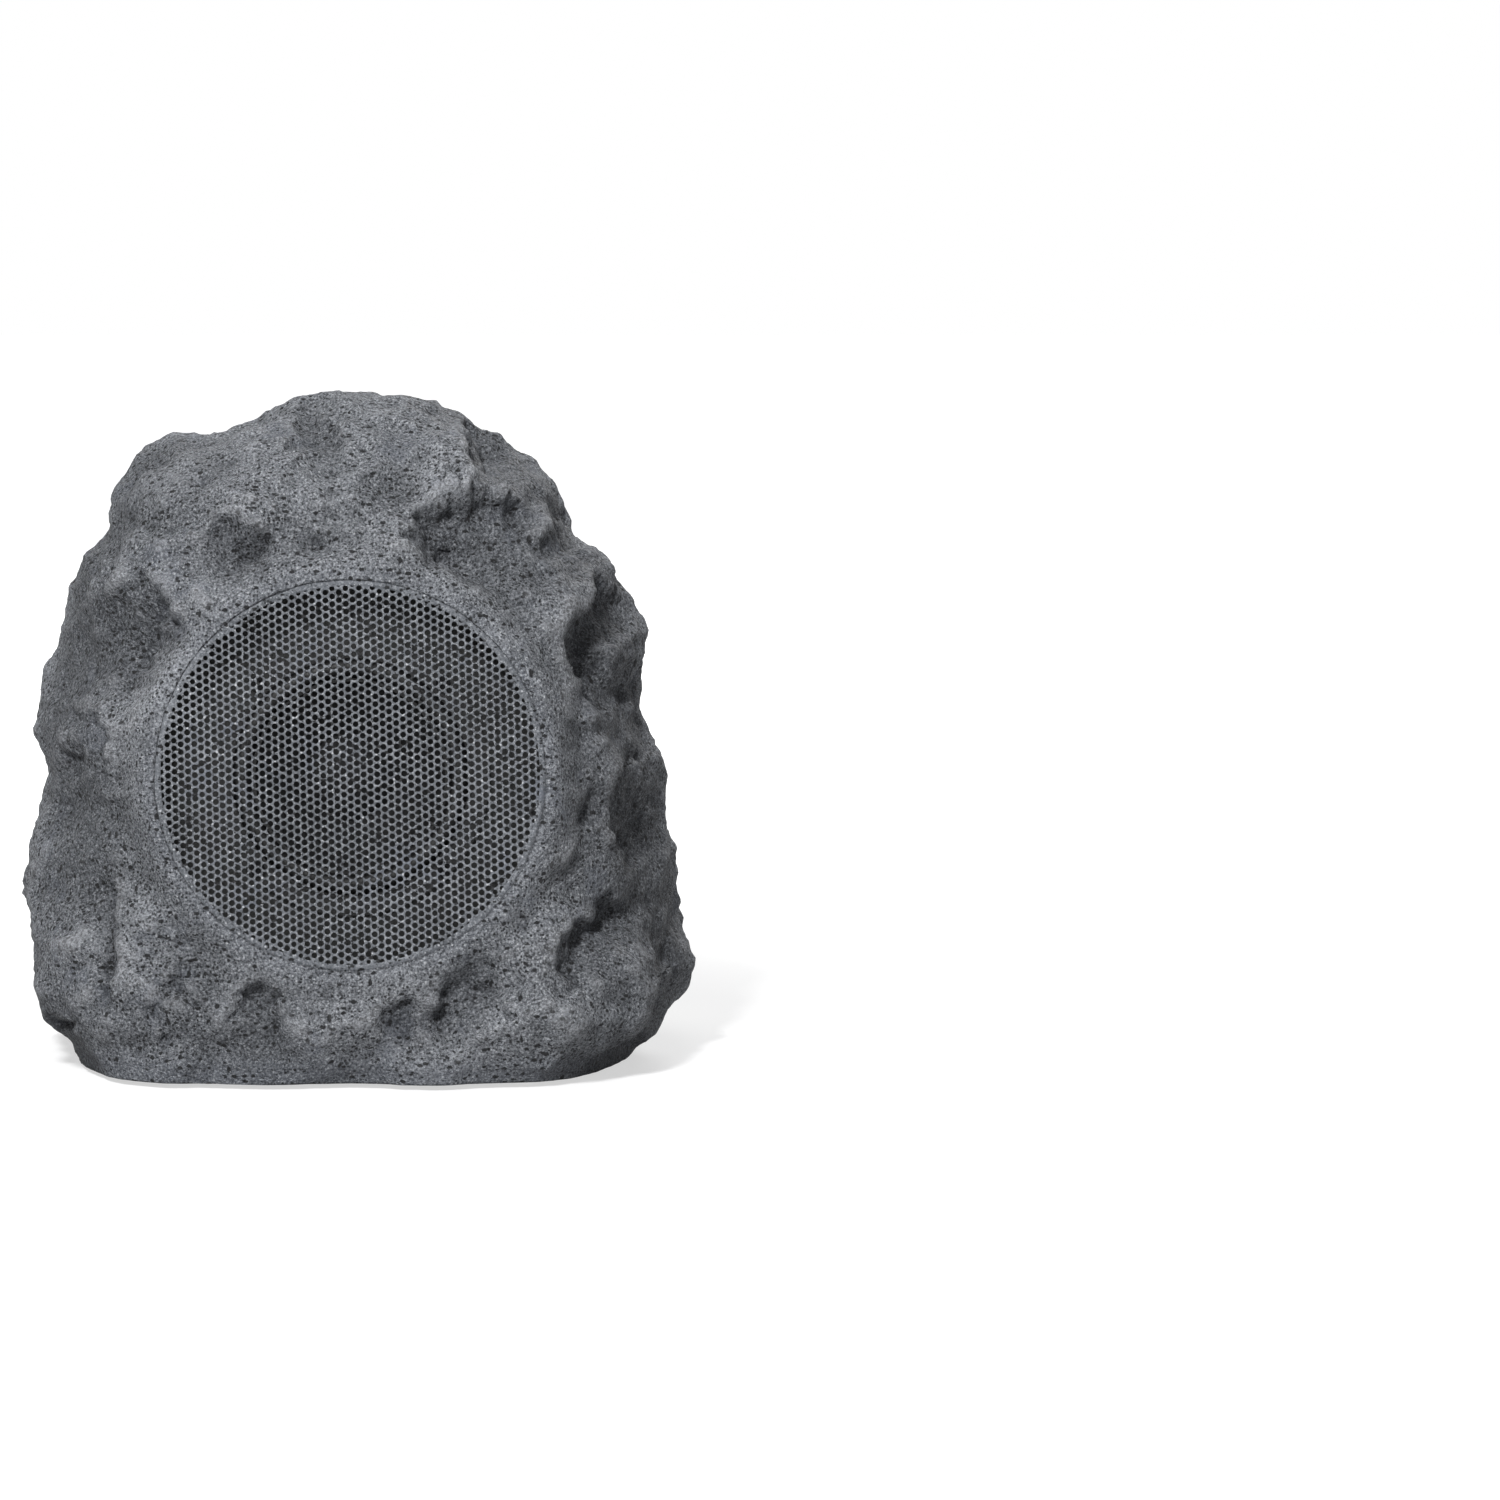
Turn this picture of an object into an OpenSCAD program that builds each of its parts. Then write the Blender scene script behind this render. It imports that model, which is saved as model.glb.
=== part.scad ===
// Outdoor wireless speaker in a housing moulded as a chipped stone. A round perforated grille sits in a
// flat on its front, a recessed control panel sits in its back, and a base plate on rubber feet closes it.
// Millimetres, +Z up, grille towards -Y. The origin is on the ground, under the middle of the stone.

/* [Stone] */
// Width of the stone
stone_w = 262; // [250:1:290]
// Depth of the stone
stone_d = 204; // [200:1:236]
// Height of the stone from its rim to its top
stone_h = 261; // [252:1:286]
// Thickness of the moulded wall
wall = 5; // [4:0.5:6.5]
// Depth of the chipped facets, where 1 is as drawn
chip_depth = 1; // [0.4:0.1:1.2]
// Depth of the fine unevenness
grain_depth = 1; // [0.4:0.1:1.6]

/* [Face] */
// Height of the grille's centre above the ground
face_z = 121.5; // [117:0.5:126]
// How far the face stands in front of the origin at the grille's centre
face_out = 92; // [89:0.5:95]
// Sideways place of the grille's centre
face_x = -3; // [-5:0.5:3]
// Backward lean of the face
face_tilt = 8; // [6:0.5:10]
// Depth of the stone's lip in front of the baffle
lip_depth = 2.4; // [1.8:0.2:3]

/* [Grille] */
// Outer diameter of the grille
grille_d = 150; // [142:1:154]
// Thickness of the perforated sheet
grille_sheet = 1; // [0.6:0.1:1.4]
// Depth of the grille's folded rim
grille_rim = 7; // [5:0.5:9]
// How far the grille sits below the face
grille_inset = 0.6; // [0.3:0.1:1.2]
// Diameter of a hole
hole_d = 6; // [4:0.5:7]
// Distance between hole centres
hole_pitch = 9; // [8.5:0.5:12]

/* [Baffle] */
// Wall of the baffle's tube
tube_wall = 2; // [1.5:0.25:3]
// Depth from the face to the shelf that carries the driver
shelf_depth = 18.5; // [17:0.5:22]
// Thickness of the shelf
shelf_t = 3.5; // [2.5:0.5:5]
// Width of the glue ledge behind the stone's wall
ledge_w = 3.2; // [2.5:0.1:3.6]
// Thickness of the glue ledge
ledge_t = 3; // [2:0.5:4]

/* [Driver] */
// Outer diameter of the driver's frame
driver_d = 108; // [100:1:112]
// Thickness of the frame's flange
flange_t = 1.2; // [1:0.1:2]
// Thickness of the gasket under the flange
driver_gasket_t = 1; // [0.5:0.25:2]
// Width of the rubber roll round the cone
roll_w = 8; // [6:0.5:9]
// Depth of the cone
cone_depth = 18; // [15:0.5:21]
// Diameter of the voice coil
coil_d = 25.4; // [20:0.2:28]
// Diameter of the dust cap
cap_d = 34; // [30:1:38]
// Diameter of the magnet
magnet_d = 80; // [70:1:86]
// Thickness of the magnet
magnet_t = 12; // [9:0.5:15]
// How far the cone moves each way
cone_travel = 2.5; // [1:0.25:3]

/* [Control panel] */
// Height of the panel's centre above the ground
panel_z = 74; // [70:1:84]
// How far the panel's seat stands behind the origin
panel_out = 97; // [94:0.5:99]
// Forward lean of the panel
panel_tilt = 6; // [3:0.5:9]
// Width of the panel
panel_w = 100; // [96:1:106]
// Height of the panel
panel_h = 46; // [44:1:50]
// Thickness of the panel's rim
panel_t = 2; // [1.5:0.25:2.5]
// Depth of the well that holds the buttons
well_depth = 9; // [7:0.5:11]
// Diameter of a button
button_d = 10; // [8:0.5:11]
// Distance between buttons
button_pitch = 15; // [13:0.5:16]
// How far a button can be pressed
button_travel = 0.6; // [0.3:0.1:0.8]

/* [Base] */
// Height of the rubber feet under the rim
foot_h = 2; // [1.5:0.5:4]
// Diameter of a foot
foot_d = 20; // [14:1:24]
// Thickness of the base plate
plate_t = 3; // [2.5:0.5:4]
// Gap between the base plate and the wall
plate_gap = 0.4; // [0.3:0.1:0.8]

/* [Electronics] */
// Length of the main board
board_l = 86; // [80:1:92]
// Width of the main board
board_w = 56; // [52:1:60]
// Thickness of the circuit boards
board_t = 1.6; // [1:0.2:2]
// Height of the posts under the main board
post_h = 7; // [5:0.5:10]
// Diameter of a battery cell
cell_d = 18.5; // [18:0.5:19.5]
// Length of a battery cell
cell_l = 65.5; // [64:0.5:68]
// Diameter of the internal leads
lead_d = 3; // [2:0.25:3.5]

/* [Hidden] */
$fn = 64;

stone_grey = [0.41, 0.42, 0.44];
steel = [0.72, 0.73, 0.74];
black_plastic = [0.09, 0.09, 0.10];
board_green = [0.08, 0.30, 0.18];

fit = 0.3;
seat = 0.2;
hair = 0.01;

// The outlines are drawn for a stone of this size and scaled to the one that is set.
// Each point is the distance out from the middle and the height above the rim.
drawn = [265, 208, 269];
left_edge = [
    [117, 0], [124, 9], [131, 23], [131, 42], [132, 70], [127.5, 86], [126, 100], [125, 117], [128.5, 131],
    [126, 148], [121, 163], [116.5, 183], [112, 203], [101, 215], [97, 231], [88, 243], [75, 250],
    [58, 249], [40, 256], [25, 266], [8, 268.5], [-10, 269]
];
right_edge = [
    [112, 0], [121, 7], [127, 21], [132.5, 37], [128.5, 52], [129, 70], [126, 87], [124, 104], [122.5, 123],
    [116, 138], [112.5, 153], [112, 171], [106, 188], [100, 200], [95, 205], [87, 209], [81, 220],
    [77, 232], [69, 241], [59, 253], [43, 261.5], [27, 265], [10, 269]
];
front_edge = [
    [98, 0], [103, 8], [105, 20], [104, 34], [101, 52], [98, 72], [95, 97], [92, 121], [88, 150],
    [83.5, 180], [79, 203], [73, 218], [63, 232], [49, 245], [34, 255], [17, 264], [0, 269]
];
back_edge = [
    [95, 0], [100, 8], [103, 22], [102, 45], [98, 75], [94, 105], [89, 130], [84, 158], [77, 180],
    [69, 200], [59, 217], [48, 231], [35, 245], [21, 256], [8, 265], [0, 269]
];

// Chipped facets of the front: sideways place, height, how proud it stands, and its slope to the right and up.
front_chips = [
    [-77, 243, 1, 0.1, -0.1], [-92, 230, -2, 0.3, 0.5], [-60, 240, 2, 0, -0.1], [-27, 245, 1, 0.1, -0.2],
    [-21, 258, -2.5, -0.1, 0.3], [0, 262, 1, 0, -0.1], [14, 240, -4, -0.3, 0], [24, 252, -3.5, -0.2, 0.2],
    [33, 243, 2, 0.15, -0.1], [22, 224, 2, 0.1, -0.2], [50, 248, -1, -0.5, 0], [64, 234, 0, -0.2, -0.2],
    [37, 224, -3, -0.5, 0.6], [28, 212, -4.5, -0.4, 0.5], [46, 218, -4, -0.1, 0.5], [56, 212, -3, 0.15, -0.2],
    [78, 212, -3, -0.3, 0.4], [88, 206, -3, -0.2, 0.4], [37, 201, -1, 0, -0.35], [60, 188, -3, -0.2, 0.1],
    [78, 193, 1, 0.1, -0.35], [95, 200, 2, 0, -0.3], [91, 178, -5, -0.8, 0.1], [91, 160, -5, -0.8, 0.1],
    [103, 170, -4, 0, 0], [76, 168, 1, 0, 0], [86, 130, 0, 0.1, -0.1], [96, 148, -2, -0.3, 0],
    [92, 110, -4, -0.3, 0.2], [109, 102, -4, -0.4, 0.3], [88, 90, -1, -0.25, 0.1], [104, 74, -2, -0.2, 0.2],
    [72, 60, 3, 0.1, -0.35], [80, 44, 3, -0.1, 0], [98, 36, -1, -0.6, 0.2], [117, 46, -3, -0.6, 0.1],
    [122, 28, -1, -0.3, 0.2], [93, 18, -2, -0.3, 0.4], [48, 30, 2, 0.1, -0.3], [31, 33, -3, -0.2, 0.1],
    [25, 16, 2, 0.15, -0.5], [57, 10, 1, 0, 0], [1, 18, -1, 0, 0.2], [8, 30, 0, 0, -0.1],
    [-18, 26, 0.5, 0.1, -0.1], [-43, 8, 2, 0, -0.5], [-41, 28, -3.5, -0.1, 0.35], [-54, 32, 1, 0.3, 0],
    [-63, 24, -2.5, -0.3, 0.1], [-74, 34, 1.5, 0.1, -0.3], [-79, 10, 2, 0.1, -0.5], [-104, 25, 1, 0.1, -0.3],
    [-114, 23, -4, -0.1, 0.4], [-89, 44, 0, 0, 0], [-96, 57, -2.5, -0.3, 0], [-87, 71, 1, 0.1, -0.1],
    [-118, 66, 1, 0.1, -0.1], [-107, 74, -1.5, -0.2, 0.1], [-87, 92, 1, 0, 0], [-113, 121, -2, 0.2, 0.2],
    [-99, 128, 0, 0, 0], [-87, 155, 2, 0.1, -0.2], [-95, 182, -2.5, 0.1, 0.3], [-80, 178, -2.5, 0.1, 0.3],
    [-106, 191, -1, 0.3, 0.2], [-100, 206, 1, 0.1, -0.4], [-82, 210, 2, 0, -0.3], [-64, 198, 3, 0.15, -0.25],
    [-45, 215, -2.5, 0, 0.4], [-18, 220, -2, 0, 0.3], [-22, 206, 1.5, 0, -0.2], [-3, 212, 0, 0, 0]
];
// The sides and the back are chipped at random.
side_chips = 46;
side_chip_depth = 3.2;
side_chip_slope = 0.35;

// How boxy the stone is in plan, and how its columns gather at the front.
squareness = 3.6;
corner_warp = 4.8;
front_warp = 12;
outer_columns = 96;
outer_rows = 40;
inner_columns = 48;
inner_rows = 18;
smooth_top = 0.93;

grille_r = grille_d / 2;
lip_r = grille_r + fit + 0.3;
tube_r = grille_r + fit;
tube_outer = tube_r + tube_wall;
seat_r = tube_outer + fit;
ledge_r = tube_outer + ledge_w;
face_flat = lip_r + 4.5;
face_blend = 15;
inner_flat = ledge_r + 3;
inner_blend = 13;
panel_flat = [panel_w / 2 + 3, panel_h / 2 + 3];
panel_blend = 15;

rim_z = foot_h;
plate_top = rim_z + plate_t;

// Depths along the face's axis, from the face inwards.
tube_front = lip_depth + seat;
ring_depth = wall + 3;
ledge_front = ring_depth + seat;
shelf_back = shelf_depth + shelf_t;
flange_z = -shelf_depth + driver_gasket_t;
flange_top = flange_z + flange_t;
driver_r = driver_d / 2;
roll_outer = driver_r - 8;
roll_inner = roll_outer - roll_w;
cone_top = flange_top + 0.3;
cone_t = 1;
cone_bottom = cone_top - cone_depth;
cone_edge_r = roll_inner + 1.5;
cone_neck_r = coil_d / 2 + 0.8 + 0.2;
cap_r = cap_d / 2;
cap_at = cone_bottom + cone_t + cone_depth * (cap_r - cone_neck_r) / (cone_edge_r - cone_neck_r) + 0.3;
coil_r = coil_d / 2;
coil_t = 0.8;
gap_clear = 0.5;
pole_r = coil_r - gap_clear;
plate_hole_r = coil_r + coil_t + gap_clear;
coil_l = 20;
top_plate_t = 4;
spider_z = cone_bottom - 4;
spider_r = 30;
basket_r = driver_r - 6.2;
basket_bottom = cone_bottom - 12;
plate_front = basket_bottom - 1.2;
magnet_front = plate_front - top_plate_t;
magnet_back = magnet_front - magnet_t;
yoke_t = 4;
screw_r = driver_r - 3.2;

// Depths along the panel's axis, from the stone inwards, and places across it.
panel_gasket_t = 0.8;
panel_back = panel_t + seat;
rebate_depth = panel_back + panel_gasket_t;
frame_depth = wall + 3;
well = [panel_w - 14, panel_h - 18];
well_wall = 1.6;
floor_t = 2;
floor_back = well_depth + floor_t;
button_r = button_d / 2;
button_proud = 2.5;
keeper_top = floor_back + fit;
keeper_t = 1.1;
keeper_back = keeper_top + keeper_t;
switch_top = keeper_back + button_travel + 0.6;
switch_t = 3.5;
board_top = switch_top + switch_t;
button_board_back = board_top + board_t;
first_button = -28.5;
light_x = -38;
socket_x = 34;
panel_screw_at = [panel_w / 2 - 5.5, panel_h / 2 - 3.7];
panel_post_at = [[-33, 11], [24, 11], [-33, -11], [24, -11]];

// Places on the base.
foot_at = [
    [49 - stone_w / 2, 38 - stone_d / 2], [stone_w / 2 - 55, 46 - stone_d / 2],
    [47 - stone_w / 2, stone_d / 2 - 50], [stone_w / 2 - 51, stone_d / 2 - 52]
];
board_at = [-50, 8];
tray_at = [44, 8];
tray_wall = 1.6;
tray_h = 12;
board_z = plate_top + post_h;
part_z = board_z + board_t;

function smooth(a, b, v) = let (s = max(0, min(1, (v - a) / (b - a)))) s * s * (3 - 2 * s);
function mix(a, b, s) = a * (1 - s) + b * s;
function unit(v) = v / max(norm(v), 1e-9);
function hash(i, j, k) = let (v = sin(i * 127.1 + j * 311.7 + k * 74.7) * 43758.5453) v - floor(v);

// Value noise from -1 to 1: random numbers at the corners of a grid, blended smoothly between them.
function noise(p, size) = let (
    q = p / size,
    c = [floor(q.x), floor(q.y), floor(q.z)],
    f = [for (k = [0:2]) smooth(0, 1, q[k] - c[k])],
    row = function(j, k) mix(hash(c.x, c.y + j, c.z + k), hash(c.x + 1, c.y + j, c.z + k), f.x)
) 2 * mix(mix(row(0, 0), row(1, 0), f.y), mix(row(0, 1), row(1, 1), f.y), f.z) - 1;

// Running length of an outline, and the point a share of the way along it.
function lengths(path, i = 0, run = 0) =
    i == len(path) - 1 ? [run] : concat([run], lengths(path, i + 1, run + norm(path[i + 1] - path[i])));
function keyed(path) = let (at = lengths(path), all = at[len(path) - 1])
    [for (k = [0, 1]) [for (i = [0:len(path) - 1]) [at[i] / all, path[i][k]]]];
function along(keys, t) = [lookup(t, keys[0]), lookup(t, keys[1])];
left_keys = keyed(left_edge);
right_keys = keyed(right_edge);
front_keys = keyed(front_edge);
back_keys = keyed(back_edge);

function plan(turn) =
    pow(pow(abs(cos(turn)), squareness) + pow(abs(sin(turn)), squareness), -1 / squareness);

// A point of the smooth stone: turn is degrees from the front, positive to the right, and t runs from rim to top.
function smooth_stone(turn, t) = let (
    left = along(left_keys, t),
    right = along(right_keys, t),
    face = along(abs(turn) <= 90 ? front_keys : back_keys, t),
    side = turn >= 0 ? right : left,
    q = plan(turn),
    up = side[1] * pow(sin(turn), 2) + face[1] * pow(cos(turn), 2)
) [
    ((right[0] - left[0]) / 2 + sin(turn) * q * (right[0] + left[0]) / 2) * stone_w / drawn.x,
    -cos(turn) * q * face[0] * stone_d / drawn.y,
    up * stone_h / drawn.z
];

// The way from a facet to a point. The side facets lie on a band that closes on itself, girth long.
girth = 648;
function way(at, c) = let (d = at - [c[0], c[1]]) [d.x - girth * round(d.x / girth), d.y];

// A facet's height at a point: each facet is a small plane, and the nearest one counts most.
function chipped(at, chips) = let (
    near = [for (c = chips) let (d = way(at, c)) 1 / pow(d * d + 8, 3)],
    high = [for (c = chips) let (d = way(at, c)) 0.55 * c[2] + c[3] * d.x + c[4] * d.y]
) (high * near) / (near * [for (c = chips) 1]);

side_list = [for (i = [0:side_chips - 1]) [
    (hash(i, 1, 0) - 0.5) * girth, hash(i, 2, 0) * 270, (hash(i, 3, 0) - 0.5) * 2 * side_chip_depth,
    (hash(i, 4, 0) - 0.5) * 2 * side_chip_slope, (hash(i, 5, 0) - 0.5) * 2 * side_chip_slope
]];

// How far the chipping moves the surface out. It fades at the top and along the drawn side outlines,
// and on the sides it mostly cuts in.
function relief(p, turn, t) = let (
    place = [p.x * drawn.x / stone_w, p.z * drawn.z / stone_h],
    round_at = [turn * girth / 360, place[1]],
    front = turn > -90 && turn < 90 ? chipped(place, front_chips) : 0,
    side = abs(turn) > 50 ? max(-5, min(3, chipped(round_at, side_list))) : 0,
    edge = 1 - 0.85 * exp(-pow((abs(turn) - 90) / 13, 2)),
    inward = 2.6 * smooth(28, 60, abs(turn)) * (1 - smooth(120, 152, abs(turn))),
    high = mix(front, side, smooth(55, 85, abs(turn))) - inward
) chip_depth * edge * high * (1 - smooth(smooth_top, 1, t));
function grain(p, t) = grain_depth * (1.3 * noise(p, 34) + 0.9 * noise(p, 15)) * (1 - 0.6 * smooth(smooth_top, 1, t));

function column_turn(j, columns) = let (a = -180 + 360 * j / columns) a + corner_warp * sin(4 * a) - front_warp * sin(a);

// Axes of the face and of the panel's seat.
face_origin = [face_x, -face_out, face_z - rim_z];
face_normal = [0, -cos(face_tilt), sin(face_tilt)];
face_up = [0, sin(face_tilt), cos(face_tilt)];
panel_origin = [0, panel_out, panel_z - rim_z];
panel_normal = [0, cos(panel_tilt), sin(panel_tilt)];
panel_up = [0, -sin(panel_tilt), cos(panel_tilt)];

// Presses the surface flat, depth below the face, and leaves it free further out.
function press_face(p, depth, flat, blend) = let (
    d = p - face_origin,
    out = d * face_normal,
    free = p.y > 0 ? 1 : smooth(flat, flat + blend, norm([d.x, d * face_up]))
) p + face_normal * (mix(-depth, out, free) - out);
function press_panel(p, depth) = let (
    d = p - panel_origin,
    out = d * panel_normal,
    past = norm([max(0, abs(d.x) - panel_flat.x), max(0, abs(d * panel_up) - panel_flat.y)]),
    free = p.y < 0 ? 1 : smooth(0, panel_blend, past)
) p + panel_normal * (mix(-depth, out, free) - out);

// One surface of the stone as rows of points. The outer one has a depth of 0 and the inner one of the wall.
function surface_rows(columns, rows, depth, flat, blend) = let (
    turns = [for (j = [0:columns - 1]) column_turn(j, columns)],
    base = [for (i = [0:rows - 1]) [for (turn = turns) smooth_stone(turn, i / rows)]],
    top = smooth_stone(0, 1)
) [for (i = [0:rows - 1]) [for (j = [0:columns - 1]) let (
    p = base[i][j],
    beside = base[i][(j + 1) % columns] - base[i][(j + columns - 1) % columns],
    above = (i == rows - 1 ? top : base[i + 1][j]) - base[max(0, i - 1)][j],
    out = unit(cross(beside, above)),
    moved = p + out * (relief(p, turns[j], i / rows) + (depth > 0 ? 0 : grain(p, i / rows)) - depth),
    pressed = press_panel(press_face(moved, depth, flat, blend), depth)
) [pressed.x, pressed.y, i == 0 ? 0 : max(0.4 * i, pressed.z)]]];

function ring_faces(columns, rows, start, turned) = [
    for (i = [0:rows - 2], j = [0:columns - 1]) let (
        a = start + i * columns + j,
        b = start + i * columns + (j + 1) % columns,
        c = b + columns,
        d = a + columns
    ) each (turned ? [[a, d, c], [a, c, b]] : [[a, b, c], [a, c, d]])
];
function cap_faces(columns, rows, start, top, turned) = [
    for (j = [0:columns - 1]) let (
        a = start + (rows - 1) * columns + j,
        b = start + (rows - 1) * columns + (j + 1) % columns
    ) turned ? [a, top, b] : [a, b, top]
];

inner_surface = surface_rows(inner_columns, inner_rows, wall, inner_flat, inner_blend);

// The stone's inner outline at a height above its rim, and that outline moved outwards.
function ring_at(z) = [for (j = [0:inner_columns - 1])
    let (low = inner_surface[0][j], high = inner_surface[1][j]) mix(low, high, z / high.z)];
function moved_ring(ring, out) = [for (j = [0:len(ring) - 1]) let (
    n = len(ring),
    d = ring[(j + 1) % n] - ring[(j + n - 1) % n],
    side = unit([d.y, -d.x])
) [ring[j].x, ring[j].y] + side * out];
function nearer(a, b) = [for (j = [0:len(a) - 1]) norm([a[j].x, a[j].y]) < norm([b[j].x, b[j].y]) ? a[j] : b[j]];
plate_outline = moved_ring(nearer(ring_at(0), ring_at(plate_t)), -plate_gap);
flange_z0 = plate_t + seat;
flange_h = 3;
flange_outer = moved_ring(ring_at(flange_z0 + flange_h / 2), 1.5);
flange_inner = moved_ring(ring_at(flange_z0 + flange_h / 2), -13);
base_screw_at = [for (k = [5, 11, 19, 29, 37, 43]) moved_ring(ring_at(flange_z0), -8)[k]];

// A round lead: the route is smoothed, and a ring of corners is put round each of its points.
function bend(a, b, c, d, s) =
    0.5 * (2 * b + (c - a) * s + (2 * a - 5 * b + 4 * c - d) * s * s + (3 * b - a - 3 * c + d) * s * s * s);
function smooth_route(p, steps) = let (n = len(p)) concat([for (i = [0:n - 2], k = [0:steps - 1])
    bend(p[max(0, i - 1)], p[i], p[i + 1], p[min(n - 1, i + 2)], k / steps)], [p[n - 1]]);

module lead(route, across, steps = 4) {
    sides = 10;
    p = smooth_route(route, steps);
    n = len(p);
    points = [for (i = [0:n - 1]) let (
        way = unit(p[min(n - 1, i + 1)] - p[max(0, i - 1)]),
        u = unit(cross(way, across)),
        v = cross(way, u)
    ) each [for (k = [0:sides - 1]) p[i] + lead_d / 2 * (u * cos(360 * k / sides) + v * sin(360 * k / sides))]];
    walls = [for (i = [0:n - 2], k = [0:sides - 1]) let (
        a = i * sides + k,
        b = i * sides + (k + 1) % sides
    ) each [[a, b, b + sides], [a, b + sides, a + sides]]];
    first = [for (k = [0:sides - 1]) sides - 1 - k];
    last = [for (k = [0:sides - 1]) (n - 1) * sides + k];
    polyhedron(points, [for (f = concat(walls, [first], [last])) [for (k = [len(f) - 1:-1:0]) f[k]]]);
}

module stone_solid() {
    outer = surface_rows(outer_columns, outer_rows, 0, face_flat, face_blend);
    peak = smooth_stone(0, 1);
    inner_start = outer_columns * outer_rows;
    tops = inner_start + inner_columns * inner_rows;
    points = concat(
        [for (row = outer) each row], [for (row = inner_surface) each row], [peak, peak - [0, 0, wall]]
    );
    rim = [for (j = [0:inner_columns - 1]) let (
        a = 2 * j,
        b = 2 * j + 1,
        c = (2 * j + 2) % outer_columns,
        d = inner_start + j,
        e = inner_start + (j + 1) % inner_columns
    ) each [[b, a, d], [b, d, e], [c, b, e]]];
    faces = concat(
        ring_faces(outer_columns, outer_rows, 0, false), cap_faces(outer_columns, outer_rows, 0, tops, false),
        ring_faces(inner_columns, inner_rows, inner_start, true),
        cap_faces(inner_columns, inner_rows, inner_start, tops + 1, true), rim
    );
    // Faces are listed clockwise from outside.
    polyhedron(points, [for (f = faces) [f[2], f[1], f[0]]]);
}

module on_face() translate([face_x, -face_out, face_z]) rotate([90 - face_tilt, 0, 0]) children();
module on_panel() translate([0, panel_out, panel_z]) rotate([90 - panel_tilt, 0, 180]) children();

// A ring between two radii and two depths along the axis.
module ring(r_in, r_out, z0, z1) translate([0, 0, z0]) difference() {
    cylinder(r = r_out, h = z1 - z0);
    translate([0, 0, -1]) cylinder(r = r_in, h = z1 - z0 + 2);
}
module block(size, z0, z1) translate([-size.x / 2, -size.y / 2, z0]) cube([size.x, size.y, z1 - z0]);
module round_block(size, r, z0, z1) {
    block([size.x - 2 * r, size.y], z0, z1);
    block([size.x, size.y - 2 * r], z0, z1);
    for (x = [-1, 1], y = [-1, 1])
        translate([x * (size.x / 2 - r), y * (size.y / 2 - r), z0]) cylinder(r = r, h = z1 - z0, $fn = 32);
}
module at_corners(p) for (x = [-1, 1], y = [-1, 1]) translate([x * p.x, y * p.y, 0]) children();

// A pan-head screw with a cross slot: its head's underside is at 0 and its shank goes down.
module screw(head_r, head_h, shank_r, shank_l) difference() {
    union() {
        cylinder(r = head_r, h = head_h, $fn = 32);
        translate([0, 0, -shank_l]) cylinder(r = shank_r, h = shank_l + hair, $fn = 24);
    }
    for (a = [0, 90]) rotate([0, 0, a])
        translate([-head_r * 0.6, -head_r * 0.11, head_h * 0.45]) cube([head_r * 1.2, head_r * 0.22, head_h]);
}

module stone_shell() color(stone_grey) difference() {
    union() {
        translate([0, 0, rim_z]) stone_solid();
        on_face() translate([0, 0, -ring_depth]) cylinder(r = ledge_r + 2, h = ring_depth - 2);
        on_panel() block([panel_w + 6, panel_h + 6], -frame_depth, -2);
        difference() {
            union() {
                translate([0, 0, rim_z + flange_z0]) linear_extrude(flange_h) polygon(flange_outer);
                for (p = base_screw_at) translate([p.x, p.y, rim_z + flange_z0]) cylinder(r = 5, h = 12, $fn = 32);
            }
            difference() {
                translate([0, 0, rim_z]) linear_extrude(40) polygon(flange_inner);
                for (p = base_screw_at) translate([p.x, p.y, 0]) cylinder(r = 5, h = 60, $fn = 32);
            }
        }
    }
    on_face() translate([0, 0, -ring_depth - 20]) cylinder(r = lip_r, h = ring_depth + 40);
    on_face() translate([0, 0, -ring_depth - 20]) cylinder(r = seat_r, h = ring_depth + 20 - lip_depth);
    on_panel() round_block([panel_w + 2 * fit, panel_h + 2 * fit], 6, -rebate_depth, 12);
    on_panel() block(well + [2, 2] * (well_wall + fit), -30, 5);
    on_panel() at_corners(panel_screw_at) translate([0, 0, -frame_depth - 1])
        cylinder(r = 1.7, h = frame_depth, $fn = 24);
    for (p = base_screw_at) translate([p.x, p.y, rim_z]) cylinder(r = 1.9, h = 14.6, $fn = 24);
}

module grille() color([0.44, 0.45, 0.47]) on_face() {
    top = -grille_inset;
    step = hole_pitch * sqrt(3) / 2;
    reach = grille_r - grille_sheet - hole_d / 2 - 0.8;
    translate([0, 0, top - grille_sheet]) linear_extrude(grille_sheet) difference() {
        circle(r = grille_r, $fn = 96);
        for (i = [-12:12], j = [-10:10]) let (p = [i * step, (j + (i % 2 == 0 ? 0 : 0.5)) * hole_pitch])
            if (norm(p) < reach) translate(p) circle(d = hole_d, $fn = 12);
    }
    ring(grille_r - grille_sheet, grille_r, top - grille_rim, top - grille_sheet / 2);
}

module baffle() color(black_plastic) on_face() difference() {
    rotate_extrude($fn = 96) polygon([
        [tube_r, -tube_front], [tube_outer, -tube_front], [tube_outer, -ledge_front], [ledge_r, -ledge_front],
        [ledge_r, -ledge_front - ledge_t], [tube_outer, -ledge_front - ledge_t], [tube_outer, -shelf_back],
        [basket_r + 0.6, -shelf_back], [basket_r + 0.6, -shelf_depth], [tube_r, -shelf_depth]
    ]);
    for (a = [45:90:315]) rotate([0, 0, a]) translate([screw_r, 0, -shelf_back - 1])
        cylinder(r = 1.6, h = shelf_t + 2, $fn = 24);
}

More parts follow.
